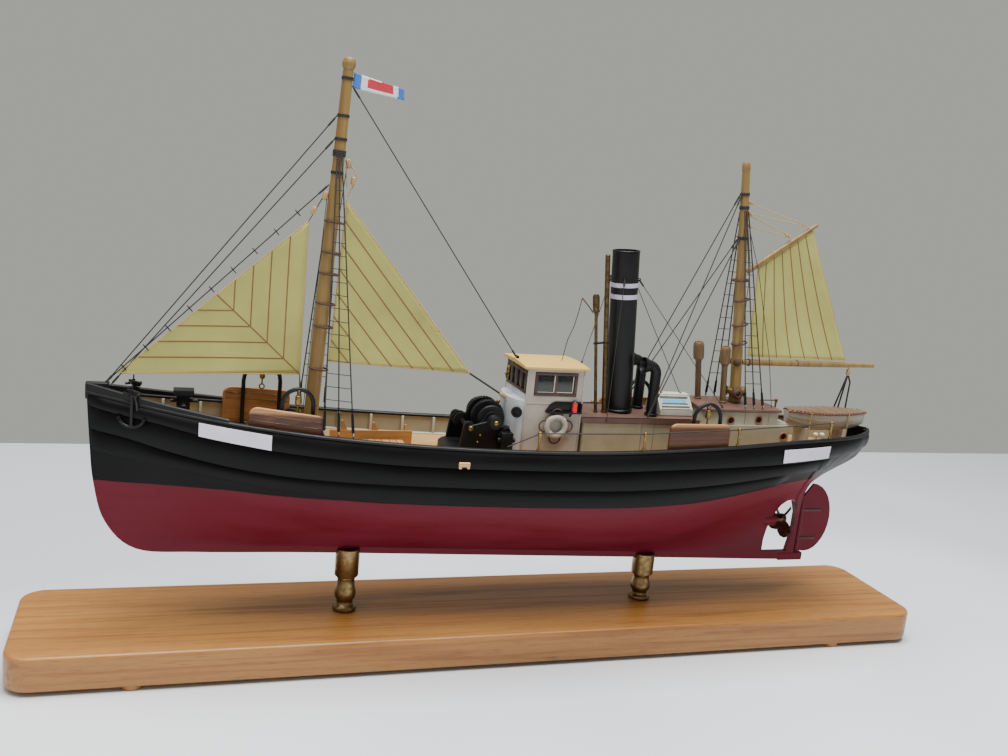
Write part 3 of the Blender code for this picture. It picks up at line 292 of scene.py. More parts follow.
def oak_board():
    """Oiled oak: long growth lines, short dark pores along them and a soft satin gloss."""
    material, tree, shader = begin("oiled_oak", "B08A5C", 0.42)
    figure = mottling(tree, (150, 4.2, 5.0), 6.0, 0.9)
    wide = mottling(tree, (260, 26, 30), 3.0, 0.4)
    pores = mottling(tree, (13, 0.6, 0.6), 2.0)
    warm = between(tree, wide, 0.36, 0.64, linear("A47135"), linear("96652D"))
    lined = between(tree, figure, 0.48, 0.64, (1, 1, 1, 1), linear("D6BCA0"))
    deep = blend(tree, 0.7, warm, lined, "MULTIPLY")
    dots = between(tree, pores, 0.57, 0.7, (1, 1, 1, 1), linear("C4A48A"))
    colour = blend(tree, 0.7, deep, dots, "MULTIPLY")
    finish_surface(tree, shader, colour, figure, 0.36, 0.5, pores, 0.06)
    shader.inputs["Coat Weight"].default_value = 0.12
    shader.inputs["Coat Roughness"].default_value = 0.3
    return material


def door_finish():
    """Trawl door boards stained dark up to a lighter top band: partly bare wood, partly painted light where
    the top edge catches the light from above.
    """
    material, tree, shader = begin("stained_door", "6E4A32", 0.5)
    axes = object_axes(tree)
    grain = mottling(tree, (60, 2.6, 2.6), 5.0, 0.5)
    fine = mottling(tree, (9, 0.45, 0.45), 2.0)
    stain = between(tree, grain, 0.35, 0.7, linear("5A3013"), linear("3C1F0B"))
    # Lighter top band: bare wood together with painted light on the top edge
    bare_and_lit_top = between(tree, grain, 0.35, 0.7, linear("AE804E"), linear("94693E"))
    top = add(tree, "MapRange", {0: axes[2], 1: 159.2 * MM, 2: 161.0 * MM})
    both = blend(tree, top.outputs[0], stain, bare_and_lit_top)
    finish_surface(tree, shader, both, grain, 0.4, 0.56, fine, 0.04)
    return material


def painted(name, colour, worn, rough=0.45, patch=12.0, brush=0.03, shine=0.4):
    """Brush paint on wood or metal: a slightly uneven tone and gloss, and faint brush marks."""
    material, tree, shader = begin(name, colour, rough)
    patches = mottling(tree, (patch, patch, patch), 4.0)
    marks = mottling(tree, (7, 1.1, 1.1), 3.0)
    tone = between(tree, patches, 0.3, 0.75, linear(colour), linear(worn))
    shader.inputs["Specular IOR Level"].default_value = shine
    finish_surface(tree, shader, tone, patches, rough - 0.06, rough + 0.1, marks, brush)
    return material


def hull_paint():
    """Two brushed coats on planks: black topsides over a dull red bottom, cut in along a painted line."""
    material, tree, shader = begin("hull_black_and_red", "26272A", 0.45)
    axes = object_axes(tree)
    low, high = PAINT_LINE[0][0], PAINT_LINE[-1][0]
    along = add(tree, "MapRange", {0: axes[0], 1: low * MM, 2: high * MM})
    line = add(tree, "FloatCurve", {1: along.outputs[0]})
    curve = line.mapping.curves[0]
    z_low, z_high = 100.0, 120.0
    steps = 20
    knots = [(k / steps, (read(PAINT_LINE, low + (high - low) * k / steps) - z_low) / (z_high - z_low))
             for k in range(steps + 1)]
    curve.points[0].location = knots[0]
    curve.points[-1].location = knots[-1]
    for knot in knots[1:-1]:
        curve.points.new(*knot)
    line.mapping.update()
    height = add(tree, "MapRange", {0: line.outputs[0], 3: z_low * MM, 4: z_high * MM})
    wander = mottling(tree, (9, 9, 9), 2.0)
    shaky = add(tree, "MapRange", {0: wander, 3: -0.35 * MM, 4: 0.35 * MM})
    edge = add(tree, "Math", {0: height.outputs[0], 1: shaky.outputs[0]}, operation="ADD")
    above = add(tree, "Math", {0: axes[2], 1: edge.outputs[0]}, operation="SUBTRACT")
    side = add(tree, "MapRange", {0: above.outputs[0], 1: -0.15 * MM, 2: 0.15 * MM})
    patches = mottling(tree, (60, 14, 14), 4.0)
    streaks = mottling(tree, (34, 2.2, 1.6), 4.0)
    red = between(tree, patches, 0.3, 0.7, linear("5D101F"), linear("681B2B"))
    black = between(tree, patches, 0.3, 0.75, linear("040404"), linear("080808"))
    both = blend(tree, side.outputs[0], red, black)
    shader.inputs["Specular IOR Level"].default_value = 0.15
    finish_surface(tree, shader, both, patches, 0.36, 0.52, streaks, 0.05)
    return material


def brass(name, colour, dull, rough=0.3):
    """Turned brass gone slightly dull: metal with lathe lines and a faint brown film."""
    material, tree, shader = begin(name, colour, rough, 1.0)
    film = mottling(tree, (3, 3, 3), 4.0)
    lathe = mottling(tree, (30, 30, 0.3), 2.0)
    tone = between(tree, film, 0.35, 0.75, linear(colour), linear(dull))
    finish_surface(tree, shader, tone, film, rough - 0.06, rough + 0.14, lathe, 0.01)
    return material


def cloth(name, colour, shade, thread=0.5):
    """Starched cotton: an even weave, slightly blotched by its dye, with no gloss."""
    material, tree, shader = begin(name, colour, 0.85)
    blotch = mottling(tree, (26, 26, 26), 4.0)
    place = add(tree, "TexCoord")
    laid = add(tree, "Mapping", {0: place.outputs["Object"], 3: [1 / (thread * MM * 2)] * 3})
    warp = add(tree, "TexWave", {"Vector": laid.outputs[0], "Scale": 1.0, "Distortion": 0.6},
               bands_direction="X")
    weft = add(tree, "TexWave", {"Vector": laid.outputs[0], "Scale": 1.0, "Distortion": 0.6},
               bands_direction="Z")
    weave = add(tree, "Math", {0: warp.outputs[1], 1: weft.outputs[1]}, operation="MULTIPLY")
    tone = between(tree, blotch, 0.3, 0.72, linear(colour), linear(shade))
    finish_surface(tree, shader, tone, blotch, 0.8, 0.92, weave.outputs[0], 0.05)
    shader.inputs["Sheen Weight"].default_value = 0.2
    return material


def twisted(name, colour, fleck, rough=0.8):
    """Waxed thread: a fine twist with lighter flecks."""
    material, tree, shader = begin(name, colour, rough)
    strands = mottling(tree, (0.35, 0.35, 0.35), 2.0)
    tone = between(tree, strands, 0.4, 0.7, linear(colour), linear(fleck))
    finish_surface(tree, shader, tone, strands, rough - 0.1, rough + 0.1, strands, 0.08)
    return material


def deck_planks():
    """Lime strip planking: narrow boards of slightly different tone with dark lines between them."""
    material, tree, shader = begin("laid_deck_planks", "C9A878", 0.6)
    place = add(tree, "TexCoord")
    laid = add(tree, "Mapping", {0: place.outputs["Object"], 3: [1 / MM] * 3})
    boards = add(tree, "TexBrick", {
        "Vector": laid.outputs[0], "Color1": linear("BC9760"), "Color2": linear("A9804A"),
        "Mortar": linear("6E5034"), "Scale": 1.0, "Mortar Size": 0.14, "Mortar Smooth": 0.3,
        "Brick Width": 62.0, "Row Height": 3.0})
    grain = mottling(tree, (16, 0.5, 0.5), 3.0)
    fine = between(tree, grain, 0.35, 0.75, (1, 1, 1, 1), (0.82, 0.76, 0.68, 1))
    mixed = blend(tree, 1.0, boards.outputs[0], fine, "MULTIPLY")
    finish_surface(tree, shader, mixed, grain, 0.52, 0.68, grain, 0.03)
    return material


def window_glass():
    """Thin pane tinted dark as painted shade of the room behind it, which still shows through, and a hard
    reflection.
    """
    material, tree, shader = begin("shade_tinted_glass", "4A4E4A", 0.04)
    shader.inputs["Transmission Weight"].default_value = 0.9
    shader.inputs["IOR"].default_value = 1.5
    film = mottling(tree, (6, 6, 6), 3.0)
    finish_surface(tree, shader, None, film, 0.04, 0.14, film, 0.01)
    return material


# Lines of the hull

def read(knots, x):
    """The height of a smooth line through the knots at x."""
    x = min(max(x, knots[0][0]), knots[-1][0])
    i = 0
    while i < len(knots) - 2 and x > knots[i + 1][0]:
        i += 1
    x1, y1 = knots[i]
    x2, y2 = knots[i + 1]
    x0, y0 = knots[max(i - 1, 0)]
    x3, y3 = knots[min(i + 2, len(knots) - 1)]
    span = x2 - x1
    rise1 = (y2 - y0) / (x2 - x0) * span
    rise2 = (y3 - y1) / (x3 - x1) * span
    t = (x - x1) / span
    return ((2 * t ** 3 - 3 * t ** 2 + 1) * y1 + (t ** 3 - 2 * t ** 2 + t) * rise1
            + (-2 * t ** 3 + 3 * t ** 2) * y2 + (t ** 3 - t ** 2) * rise2)


def spline(points, steps):
    """Points along a smooth curve through the given ones."""
    out = []
    last = len(points) - 1
    for i in range(last):
        p0 = Vector(points[max(i - 1, 0)])
        p1 = Vector(points[i])
        p2 = Vector(points[i + 1])
        p3 = Vector(points[min(i + 2, last)])
        for k in range(steps):
            t = k / steps
            out.append(0.5 * (2 * p1 + (p2 - p0) * t + (2 * p0 - 5 * p1 + 4 * p2 - p3) * t ** 2
                              + (3 * p1 - p0 - 3 * p2 + p3) * t ** 3))
    out.append(Vector(points[last]))
    return out


def beam(x):
    """The half width of the hull at its rail."""
    return read(RAIL_PLAN, x)


def sheer(x):
    """The height of the hull's rail."""
    return read(SHEER, x)


def deck(x):
    """The height of the deck at the hull's side."""
    return sheer(x) - BULWARK


def hull_point(station, level):
    """The port surface at a station: level 0 at the keel and 1 at the rail."""
    keel_x, keel_z, rail_x, hollow, full = station
    height = sheer(rail_x) - keel_z
    depth = KEEL_DEPTH if keel_x < STERNPOST else 0.5
    keel_top = min(depth / height, 0.3)
    rise = max(0.0, (level - keel_top) / (1 - keel_top))
    spread = (1 - (1 - rise) ** full) ** hollow
    half = STEM_HALF + (beam(rail_x) - STEM_HALF) * spread
    return Vector((keel_x + (rail_x - keel_x) * level, -half, keel_z + height * level))


# Shapes, each returned as a bmesh in millimetres

def welded(bm):
    """The body with its touching corners joined and its faces turned outwards."""
    bmesh.ops.remove_doubles(bm, verts=bm.verts, dist=WELD)
    bmesh.ops.recalc_face_normals(bm, faces=bm.faces)
    return bm


def surface(u_steps, v_steps, point):
    """A net of faces whose corners are put where point(u, v) says, u and v from 0 to 1."""
    bm = bmesh.new()
    bmesh.ops.create_grid(bm, x_segments=u_steps, y_segments=v_steps, size=0.5)
    for vert in bm.verts:
        vert.co = point(vert.co.x + 0.5, vert.co.y + 0.5)
    return welded(bm)


def eased(bm, edges, width, rounds, clamp=True):
    """The body with some of its edges rounded."""
    bmesh.ops.bevel(bm, geom=edges, offset=width, offset_type="OFFSET", segments=rounds, profile=0.5,
                    affect="EDGES", material=-1, clamp_overlap=clamp)
    return bm


def block(x, y, z, ease=0.2, rounds=2):
    """A block between the pairs x, y and z with its edges eased."""
    bm = bmesh.new()
    bmesh.ops.create_cube(bm, size=1.0)
    for vert in bm.verts:
        vert.co = [(a[0] + a[1]) / 2 + c * (a[1] - a[0]) for a, c in zip((x, y, z), vert.co)]
    return eased(bm, bm.edges, ease, rounds) if ease else bm


def about(middle, half):
    """The two ends that lie half on each side of a middle."""
    return middle - half, middle + half


def towards(bm, foot, direction):
    """The body turned from upright to a direction and put on its foot."""
    turn = Vector((0, 0, 1)).rotation_difference(Vector(direction).normalized()).to_matrix()
    bmesh.ops.rotate(bm, verts=bm.verts, cent=(0, 0, 0), matrix=turn)
    bmesh.ops.translate(bm, verts=bm.verts, vec=Vector(foot))
    return bm


def spun(bm, geom, steps, foot, direction):
    """A section swept round the upright axis, then turned to a direction and put on its foot."""
    bmesh.ops.spin(bm, geom=geom, cent=(0, 0, 0), axis=(0, 0, 1), dvec=(0, 0, 0), angle=ROUND,
                   steps=steps, use_merge=True, use_duplicate=False)
    return towards(welded(bm), foot, direction)


def turned(profile, foot, direction=(0, 0, 1), sides=24):
    """A lathe-turned body: radius and height pairs spun about a direction."""
    bm = bmesh.new()
    points = [(0.0, profile[0][1]), *profile, (0.0, profile[-1][1])]
    verts = [bm.verts.new((radius, 0, height)) for radius, height in points]
    edges = [bm.edges.new(pair) for pair in zip(verts, verts[1:])]
    return spun(bm, verts + edges, sides, foot, direction)


def rod(start, end, radius, sides=12, end_radius=None):
    """A round bar between two points, tapered where a second radius is given."""
    start = Vector(start)
    span = Vector(end) - start
    far = radius if end_radius is None else end_radius
    return turned(((radius, 0), (far, span.length)), start, span, sides)


def ring(centre, radius, thick, normal=(0, 0, 1), steps=24, sides=8):
    """A round hoop of bar about a centre."""
    bm = bmesh.new()
    verts = bmesh.ops.create_circle(bm, cap_ends=False, segments=sides, radius=thick)["verts"]
    bmesh.ops.rotate(bm, verts=verts, cent=(0, 0, 0), matrix=Matrix.Rotation(math.pi / 2, 3, "X"))
    bmesh.ops.translate(bm, verts=verts, vec=(radius, 0, 0))
    return spun(bm, bm.verts[:] + bm.edges[:], steps, centre, normal)


def spokes(count):
    """Cosine and sine of equal turns round a circle."""
    turns = [ROUND * k / count for k in range(count)]
    return [(math.cos(turn), math.sin(turn)) for turn in turns]


def prism(corners, run):
    """A flat face through the corners, drawn out along run."""
    bm = bmesh.new()
    face = bm.faces.new([bm.verts.new(corner) for corner in corners])
    grown = bmesh.ops.extrude_face_region(bm, geom=[face])
    moved = [v for v in grown["geom"] if isinstance(v, bmesh.types.BMVert)]
    bmesh.ops.translate(bm, verts=moved, vec=run)
    bmesh.ops.recalc_face_normals(bm, faces=bm.faces)
    return bm


def cut_out(outline, axis, low, high, ease=0.0):
    """A plate: an outline in the other two axes, run along one axis between two levels."""
    place = "XYZ".index(axis)
    corners = [(*pair[:place], low, *pair[place:]) for pair in outline]
    bm = prism(corners, Vector([high - low if a == axis else 0 for a in "XYZ"]))
    if ease:
        eased(bm, [e for e in bm.edges if len(e.link_faces) == 2 and e.calc_face_angle() > 0.6], ease, 2)
    return bm


def laid_lines(paths, radius, sides=6):
    """Round lines of thread or wire along paths of points."""
    curve = bpy.data.curves.new("lines", "CURVE")
    curve.dimensions = "3D"
    curve.bevel_depth = radius
    curve.bevel_resolution = max(0, (sides - 4) // 2)
    curve.use_fill_caps = True
    for path in paths:
        strand = curve.splines.new("POLY")
        strand.points.add(len(path) - 1)
        for at, point in zip(strand.points, path):
            at.co = (*point, 1.0)
    holder = bpy.data.objects.new("lines", curve)
    mesh = bpy.data.meshes.new_from_object(holder)
    bm = bmesh.new()
    bm.from_mesh(mesh)
    bmesh.ops.remove_doubles(bm, verts=bm.verts, dist=WELD)
    bpy.data.objects.remove(holder)
    bpy.data.curves.remove(curve)
    bpy.data.meshes.remove(mesh)
    return bm


def gathered(bodies):
    """Several bodies in one."""
    whole = bmesh.new()
    for bm in bodies:
        mesh = bpy.data.meshes.new("part")
        bm.to_mesh(mesh)
        bm.free()
        whole.from_mesh(mesh)
        bpy.data.meshes.remove(mesh)
    return whole


def mirrored(bm):
    """The body on the other side of the centreline."""
    bmesh.ops.scale(bm, vec=(1, -1, 1), verts=bm.verts)
    bmesh.ops.reverse_faces(bm, faces=bm.faces)
    return bm


def of_node(name):
    """A copy of a CAD node with its loose triangles joined and its flat faces made whole."""
    bm = bmesh.new()
    bm.from_mesh(frame["nodes"][name].data)
    bmesh.ops.scale(bm, vec=(1 / MM, 1 / MM, 1 / MM), verts=bm.verts)
    bmesh.ops.remove_doubles(bm, verts=bm.verts, dist=NODE_WELD)
    bmesh.ops.dissolve_limit(bm, angle_limit=math.radians(NODE_FLAT), verts=bm.verts, edges=bm.edges)
    return bm


def into_scene(name, bm):
    """An object in the scene that has the body as its mesh."""
    mesh = bpy.data.meshes.new(name)
    bm.to_mesh(mesh)
    bm.free()
    item = bpy.data.objects.new(name, mesh)
    bpy.context.scene.collection.objects.link(item)
    return item


def store(name, shape, finish, slot=None, body="ship", stands_for=(), crease=38, ease=0.0):
    """Store a body, or a list of bodies, as a piece that rides on a CAD body."""
    bm = gathered(shape) if isinstance(shape, list) else shape
    slot = slot or finish
    bmesh.ops.scale(bm, vec=(MM, MM, MM), verts=bm.verts)
    piece = into_scene(name, bm)
    piece.data.shade_smooth()
    piece.data.set_sharp_from_angle(angle=math.radians(crease))
    piece.data.materials.append(finishes[finish])
    if ease:
        edge = piece.modifiers.new("eased edges", "BEVEL")
        edge.width = ease * MM
        edge.segments = 2
        edge.limit_method = "ANGLE"
        edge.angle_limit = math.radians(EASED_FROM)
    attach(piece, body)
    if stands_for:
        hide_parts(*stands_for)
    return piece


def strung(name, paths, radius, sides, finish, slot=None, stands_for=()):
    """Store round lines along paths as one piece."""
    return store(name, laid_lines(paths, radius, sides), finish, slot, stands_for=stands_for, crease=60)


def thickened(piece, thick, offset=0):
    """Give a sheet of cloth its thickness."""
    body = piece.modifiers.new("cloth", "SOLIDIFY")
    body.thickness = thick * MM
    body.offset = offset


def dressed(name, finish, slot=None, ease=0.15):
    """A CAD node shown as it is, with whole faces, eased edges and its real finish."""
    return store(name + "_shown", of_node(name), finish, slot, stands_for=(name,), ease=ease)


# The pieces

def along(spar, z):
    """The point of a leaning spar's centreline at a height."""
    (x0, z0), (x1, z1) = spar
    return Vector((x0 + (x1 - x0) * ((z - z0) / (z1 - z0)), 0, z))


def amid(pair):
    """The point on the middle plane with the pair's x and z."""
    return Vector((pair[0], 0, pair[1]))


def less(bm, cutters):
    """The body with the cutters taken out of it."""
    items = [into_scene("shape", shape) for shape in (bm, *cutters)]
    for tool in items[1:]:
        step = items[0].modifiers.new("cut", "BOOLEAN")
        step.operation = "DIFFERENCE"
        step.solver = "EXACT"
        step.object = tool
    bpy.context.view_layer.update()
    cut = items[0].evaluated_get(bpy.context.evaluated_depsgraph_get())
    out = bmesh.new()
    out.from_mesh(cut.data)
    for item in items:
        bpy.data.objects.remove(item, do_unlink=True)
    return out


def make_camera():
    """The camera that took the photograph, from its place, its three turns and its lens."""
    yaw, pitch, roll = (math.radians(a) for a in (CAMERA_YAW, CAMERA_PITCH, CAMERA_ROLL))
    ahead = Vector((-math.sin(yaw) * math.cos(pitch), math.cos(yaw) * math.cos(pitch), -math.sin(pitch)))
    right = Vector((math.cos(yaw), math.sin(yaw), 0))
    down = ahead.cross(right)
    across = math.cos(roll) * right + math.sin(roll) * down
    below = -math.sin(roll) * right + math.cos(roll) * down
    lens = bpy.data.cameras.new("photo_camera")
    lens.sensor_width = SENSOR
    lens.lens = FOCAL / PHOTO_WIDE * SENSOR
    lens.clip_start = 0.01
    camera = bpy.data.objects.new("photo_camera", lens)
    place = Matrix((across, -below, -ahead)).transposed().to_4x4()
    place.translation = Vector(CAMERA_AT) * MM
    camera.matrix_world = place
    bpy.context.scene.collection.objects.link(camera)
    bpy.context.scene.camera = camera


def lamp(name, at, aim, size, power):
    """A soft square studio light."""
    light = bpy.data.lights.new(name, "AREA")
    light.size = size
    light.energy = power
    item = bpy.data.objects.new(name, light)
    item.location = at
    item.rotation_euler = (Vector(aim) - Vector(at)).to_track_quat("-Z", "Y").to_euler()
    bpy.context.scene.collection.objects.link(item)


def make_studio():
    """White table that ends behind the model, painted darker towards the back as light falloff, a grey wall
    colour beyond it, and soft light from above.
    """
    material, tree, shader = begin("white_table", "E4E6EC", 0.6)
    axes = object_axes(tree)
    cloudy = mottling(tree, (400, 400, 400), 2.0)
    # Painted light falloff: the white darkens towards the back of the table, over soft cloudy patches
    painted_falloff = add(tree, "Math", {0: cloudy, 1: axes[1]}, operation="ADD")
    tone = between(tree, painted_falloff.outputs[0], 0.0, 0.75, linear("F6F8FC"), linear("BCC0C6"))
    tree.links.new(tone, shader.inputs["Base Color"])
    bm = bmesh.new()
    bmesh.ops.create_grid(bm, x_segments=1, y_segments=1, size=1.0)
    for vert in bm.verts:
        vert.co = (vert.co.x * TABLE_HALF, -TABLE_HALF if vert.co.y < 0 else TABLE_BACK, 0.0)
    table = into_scene("table", bm)
    table.data.materials.append(material)
    world = bpy.data.worlds.new("grey_wall")
    world.use_nodes = True
    wall = world.node_tree.nodes["Background"]
    wall.inputs["Color"].default_value = linear("B4B5AE")
    wall.inputs["Strength"].default_value = 0.9
    bpy.context.scene.world = world
    for lamp_values in LAMPS:
        lamp(*lamp_values)


# Stand

def make_plinth():
    """Oak board with rounded corners and edges on four turned feet."""
    long, wide, low, high = BOARD
    bm = block((-long / 2, long / 2), (-wide / 2, wide / 2), (low, high), 0)
    posts = [e for e in bm.edges if abs(e.verts[0].co.z - e.verts[1].co.z) > 1]
    eased(bm, posts, BOARD_CORNER, 12, False)
    rims = [e for e in bm.edges if abs(e.verts[0].co.z - e.verts[1].co.z) < 0.01 and e.calc_face_angle() > 1]
    bodies = [eased(bm, rims, BOARD_EASE, 5, False)]
    radius = FOOT_RADIUS
    profile = ((radius - 0.9, 0), (radius - 0.2, 0.3), (radius, 1.0), (radius, low + 1.0))
    for x in (-FOOT_AT[0], FOOT_AT[0]):
        for y in (-FOOT_AT[1], FOOT_AT[1]):
            bodies.append(turned(profile, (x, y, 0), sides=32))
    store("oak_plinth", bodies, "oak", stands_for=("plinth",), crease=50)


def make_pedestals():
    """Turned brass columns: a round foot, a vase between two beads, and a slotted head for the keel."""
    first, last = FORE_FRAMES[6], FORE_FRAMES[10]
    slope = (last[1] - first[1]) / (last[0] - first[0])
    vase = ((7.6, 0.055), (7.2, 0.075), (6.4, 0.095), (5.5, 0.115), (5.2, 0.135), (5.2, 0.17), (5.6, 0.19),
            (6.4, 0.22), (6.8, 0.26), (6.9, 0.3), (6.6, 0.36), (6.1, 0.42), (5.7, 0.49), (5.5, 0.53),
            (5.7, 0.545), (5.7, 0.555), (5.4, 0.565), (5.4, 0.585), (7.3, 0.6), (7.7, 0.615))
    for name, x in zip(("pedestal_fore", "pedestal_aft"), PEDESTAL_X):
        foot = BOARD[3] + 0.3
        seat = first[1] + slope * (x - first[0])
        tall = seat - foot
        profile = [(6.9, 0), (7.5, 0.4), (7.6, 0.9)] + [(radius, tall * share) for radius, share in vase]
        profile += [(7.7, tall + 2.8), (7.4, tall + 3.2)]
        slot = block(about(x, 10), (-STEM_HALF - 0.3, STEM_HALF + 0.3), (seat - 0.6, seat + 9), 0)
        column = less(turned(profile, (x, 0, foot), sides=40), [slot])
        store(name + "_turned", column, "pedestal_brass", stands_for=(name,), crease=35)


# Hull

RED_ROWS = 10
LAP_ROWS = (0.0, 0.04, 0.12, 0.35, 0.65, 0.86, 1.0)
LAP_LIFTS = (0.6, 0.9, 1.0, 0.98, 0.8, 0.4, 0.0)
WELL_ROWS = 3


def plank_level(knots, station):
    """The level where a plank's lower edge crosses a station."""
    keel_x, keel_z, rail_x = station[:3]
    height = sheer(rail_x) - keel_z
    level = 0.5
    for _ in range(8):
        level = (read(knots, keel_x + (rail_x - keel_x) * level) - keel_z) / height
    return level


def planked_side(station):
    """Port points from the keel up to the rail, each plank standing proud over the one below it."""
    keel_x, keel_z, rail_x = station[:3]
    height = sheer(rail_x) - keel_z
    keel_top = min((KEEL_DEPTH if keel_x < STERNPOST else 0.5) / height, 0.3)
    marks = [plank_level(knots, station) for knots in LAPS] + [1.0]
    first = min(max(marks[0], keel_top + 0.02), 0.9)
    rows = [(0.0, 0.0)]
    for k in range(RED_ROWS):
        share = k / (RED_ROWS - 1)
        rows.append((keel_top + (first - keel_top) * share ** 1.4, 0.0))
    low = first
    for i, end in enumerate(LAP_ENDS):
        high = min(max(marks[i + 1], low + 0.004), 1.0)
        x = keel_x + (rail_x - keel_x) * low
        fade = min(1.0, max(0.0, (end - x) / 7.0), max(0.0, (high - low) * height - 1.0) / 3.0)
        fade *= min(1.0, 0.35 + max(0.0, x + 266.0) / 10.0)
        for share, lift in zip(LAP_ROWS, LAP_LIFTS):
            level = low + (high - low) * share
            if share == 0:
                level += 0.15 / height
            rows.append((min(level, 1.0), LAP * lift * fade + (0.25 if i == 2 else 0.0) * share))
        low = high
    return [hull_point(station, level) + Vector((0, -lift, 0)) for level, lift in rows]


def hull_ring(station):
    """A whole closed ring: port side, rail, inside of the bulwark, under the deck and back to starboard."""
    outer = planked_side(station)
    keel_z, rail_x = station[1:3]
    height = sheer(rail_x) - keel_z
    top = hull_point(station, 1)
    port = [Vector((outer[0].x, 0, outer[0].z))] + outer
    level = 1 - BULWARK / height
    foot = hull_point(station, level) if height >= BULWARK + 3 else top
    roomy = height >= BULWARK + 3 and -foot.y - PLANK > 1.2
    low = deck(foot.x) - 1.5 if roomy else top.z
    if not roomy:
        foot = top
    for k in range(WELL_ROWS + 1):
        share = k / WELL_ROWS
        y = top.y + (foot.y - top.y) * share + PLANK
        port.append(Vector((top.x + (foot.x - top.x) * share, min(y, -0.3), top.z + (low - top.z) * share)))
    port.append(Vector((foot.x, 0, low)))
    return port + [Vector((p.x, -p.y, p.z)) for p in reversed(port[1:-1])]


def net_of_rings(rings, closed=False):
    """A surface through rings of equal counts, each ring closed round."""
    count = len(rings[0])
    last = len(rings) if closed else len(rings) - 1
    return surface(last, count, lambda u, v: rings[round(u * last) % len(rings)][round(v * count) % count])


def capped(bm):
    """The open ends of a surface closed by one face each."""
    bmesh.ops.holes_fill(bm, edges=[e for e in bm.edges if e.is_boundary], sides=0)
    bmesh.ops.recalc_face_normals(bm, faces=bm.faces)
    return bm


def make_hull():
    """Lapped planks over a solid bottom, with the propeller's aperture, boss and sole piece."""
    stations = spline(FORE_FRAMES, 6)[:-1] + spline(AFT_FRAMES, 5)
    hull = capped(net_of_rings([hull_ring(station) for station in stations]))
    hull = less(hull, [cut_out(APERTURE, "Y", -12, 12)])
    start, end, radius, bore = BOSS
    profile = ((radius - 2.2, 12), (radius, 20), (radius, end - start - 0.6), (radius - 0.6, end - start),
               (bore, end - start), (bore, end - start - 8))
    boss = turned(profile, (start, 0, SHAFT_Z), (1, 0, 0), 28)
    x0, x1, z0, z1, half = SHOE
    shoe = block((x0, x1), (-half, half), (z0, z1), 0.6)
    body = gathered([hull, boss, shoe])
    for face in body.faces:
        centre = face.calc_center_median()
        middle = min(max(centre.x, -200.0), 200.0)
        inward = face.normal.x * (centre.x - middle) + face.normal.y * centre.y < 0
        inside = inward and centre.z > deck(centre.x) - 1.0 and abs(centre.y) < beam(centre.x) - PLANK * 0.4
        face.material_index = 1 if inside and centre.x < 262 else 0
    hull = store("planked_hull", body, "hull_paint", stands_for=("hull", "stern_frame", "bulwark"),
                 crease=28)
    hull.data.materials.append(finishes["beige_paint"])
    faces = bmesh.new()
    faces.from_mesh(hull.data)
    return BVHTree.FromBMesh(faces)


def side_of(tree, x, z):
    """The y of the hull's port side at x and z."""
    hit = tree.ray_cast(Vector((x * MM, -0.1, z * MM)), Vector((0, 1, 0)))[0]
    return hit.y / MM if hit else -beam(x)


def make_rails():
    """Cap rail all round the bulwark, and the raised rail round the bow with its rounded top."""
    def section(x, side, out, inner, low, high, ease):
        far = (beam(x) + out) * side
        near = max(beam(x) - inner, 0.5) * side
        return [(x, far, low + ease), (x, far, high - ease), (x, far - ease * side, high),
                (x, near + ease * side, high), (x, near, high - ease), (x, near, low + ease)]
    xs = [273.0 - 0.6 * k for k in range(8)] + [268.0 - 6.7 * k for k in range(80)] + [-268.2]
    rings = []
    for side, order in ((-1, xs), (1, xs[::-1])):
        for x in order:
            rings.append(section(x, side, RAIL_OUT, RAIL_IN, sheer(x) - 0.4, sheer(x) + RAIL_TOP, 0.5))
    cap = net_of_rings(rings, closed=True)
    xs = [BOW_RAIL_END - 2.0 * k for k in range(39)] + [-268.4]
    rings = []
    for side, order in ((-1, xs), (1, xs[::-1])):
        for x in order:
            cap_top = sheer(x) + RAIL_TOP
            top = max(read(BOW_RAIL_TOP, x), cap_top + 0.3)
            rings.append(section(x, side, 0.6, 1.8, cap_top - 0.5, top, 0.6))
    raised = capped(net_of_rings(rings))
    head = block((-268.6, -256.0), (-2.4, 2.4), (160.0, 169.9), 1.0, 3)
    store("cap_rail", [cap, raised, head], "black_paint", stands_for=("bulwark",), crease=40)


def make_bulwark_fittings():
    """White stanchions inside the bulwark and a waterway along the deck's edge."""
    posts, ways = [], []
    for k in range(21):
        x = -226.0 + 22.0 * k
        for side in (-1, 1):
            y = side * (beam(x) - PLANK - 1.0)
            posts.append(block(about(x, 0.8), about(y, 0.9), (deck(x), sheer(x)), 0.2))
    store("bulwark_stanchions", posts, "white_paint")
    for side in (-1, 1):
        rings = []
        for k in range(57):
            x = -236.0 + 8.2 * k
            y = side * (beam(x) - PLANK - 0.2)
            z = deck(x)
            rings.append([(x, y, z - 0.2), (x, y, z + 1.3), (x, y - side * 2.0, z + 0.9),
                          (x, y - side * 2.2, z - 0.2)])
        ways.append(capped(net_of_rings(rings)))
    store("waterways", ways, "white_paint", crease=40)


def plate_on(tree, xs, tops, bottoms, lift):
    """A thin plate that lies on the hull's side between two ends, with its own heights."""
    def point(u, v):
        x = xs[0] + (xs[1] - xs[0]) * u
        top = tops[0] + (tops[1] - tops[0]) * u
        bottom = bottoms[0] + (bottoms[1] - bottoms[0]) * u
        z = bottom + (top - bottom) * v
        middle = (top + bottom) / 2
        y = side_of(tree, x, middle) - lift
        lean = (side_of(tree, x, top - 0.5) - side_of(tree, x, bottom + 0.5)) / (top - bottom - 1)
        return (x, y + lean * (z - middle), z)
    bm = surface(14, 4, point)
    bmesh.ops.solidify(bm, geom=bm.faces[:], thickness=0.5)
    bmesh.ops.recalc_face_normals(bm, faces=bm.faces)
    return bm


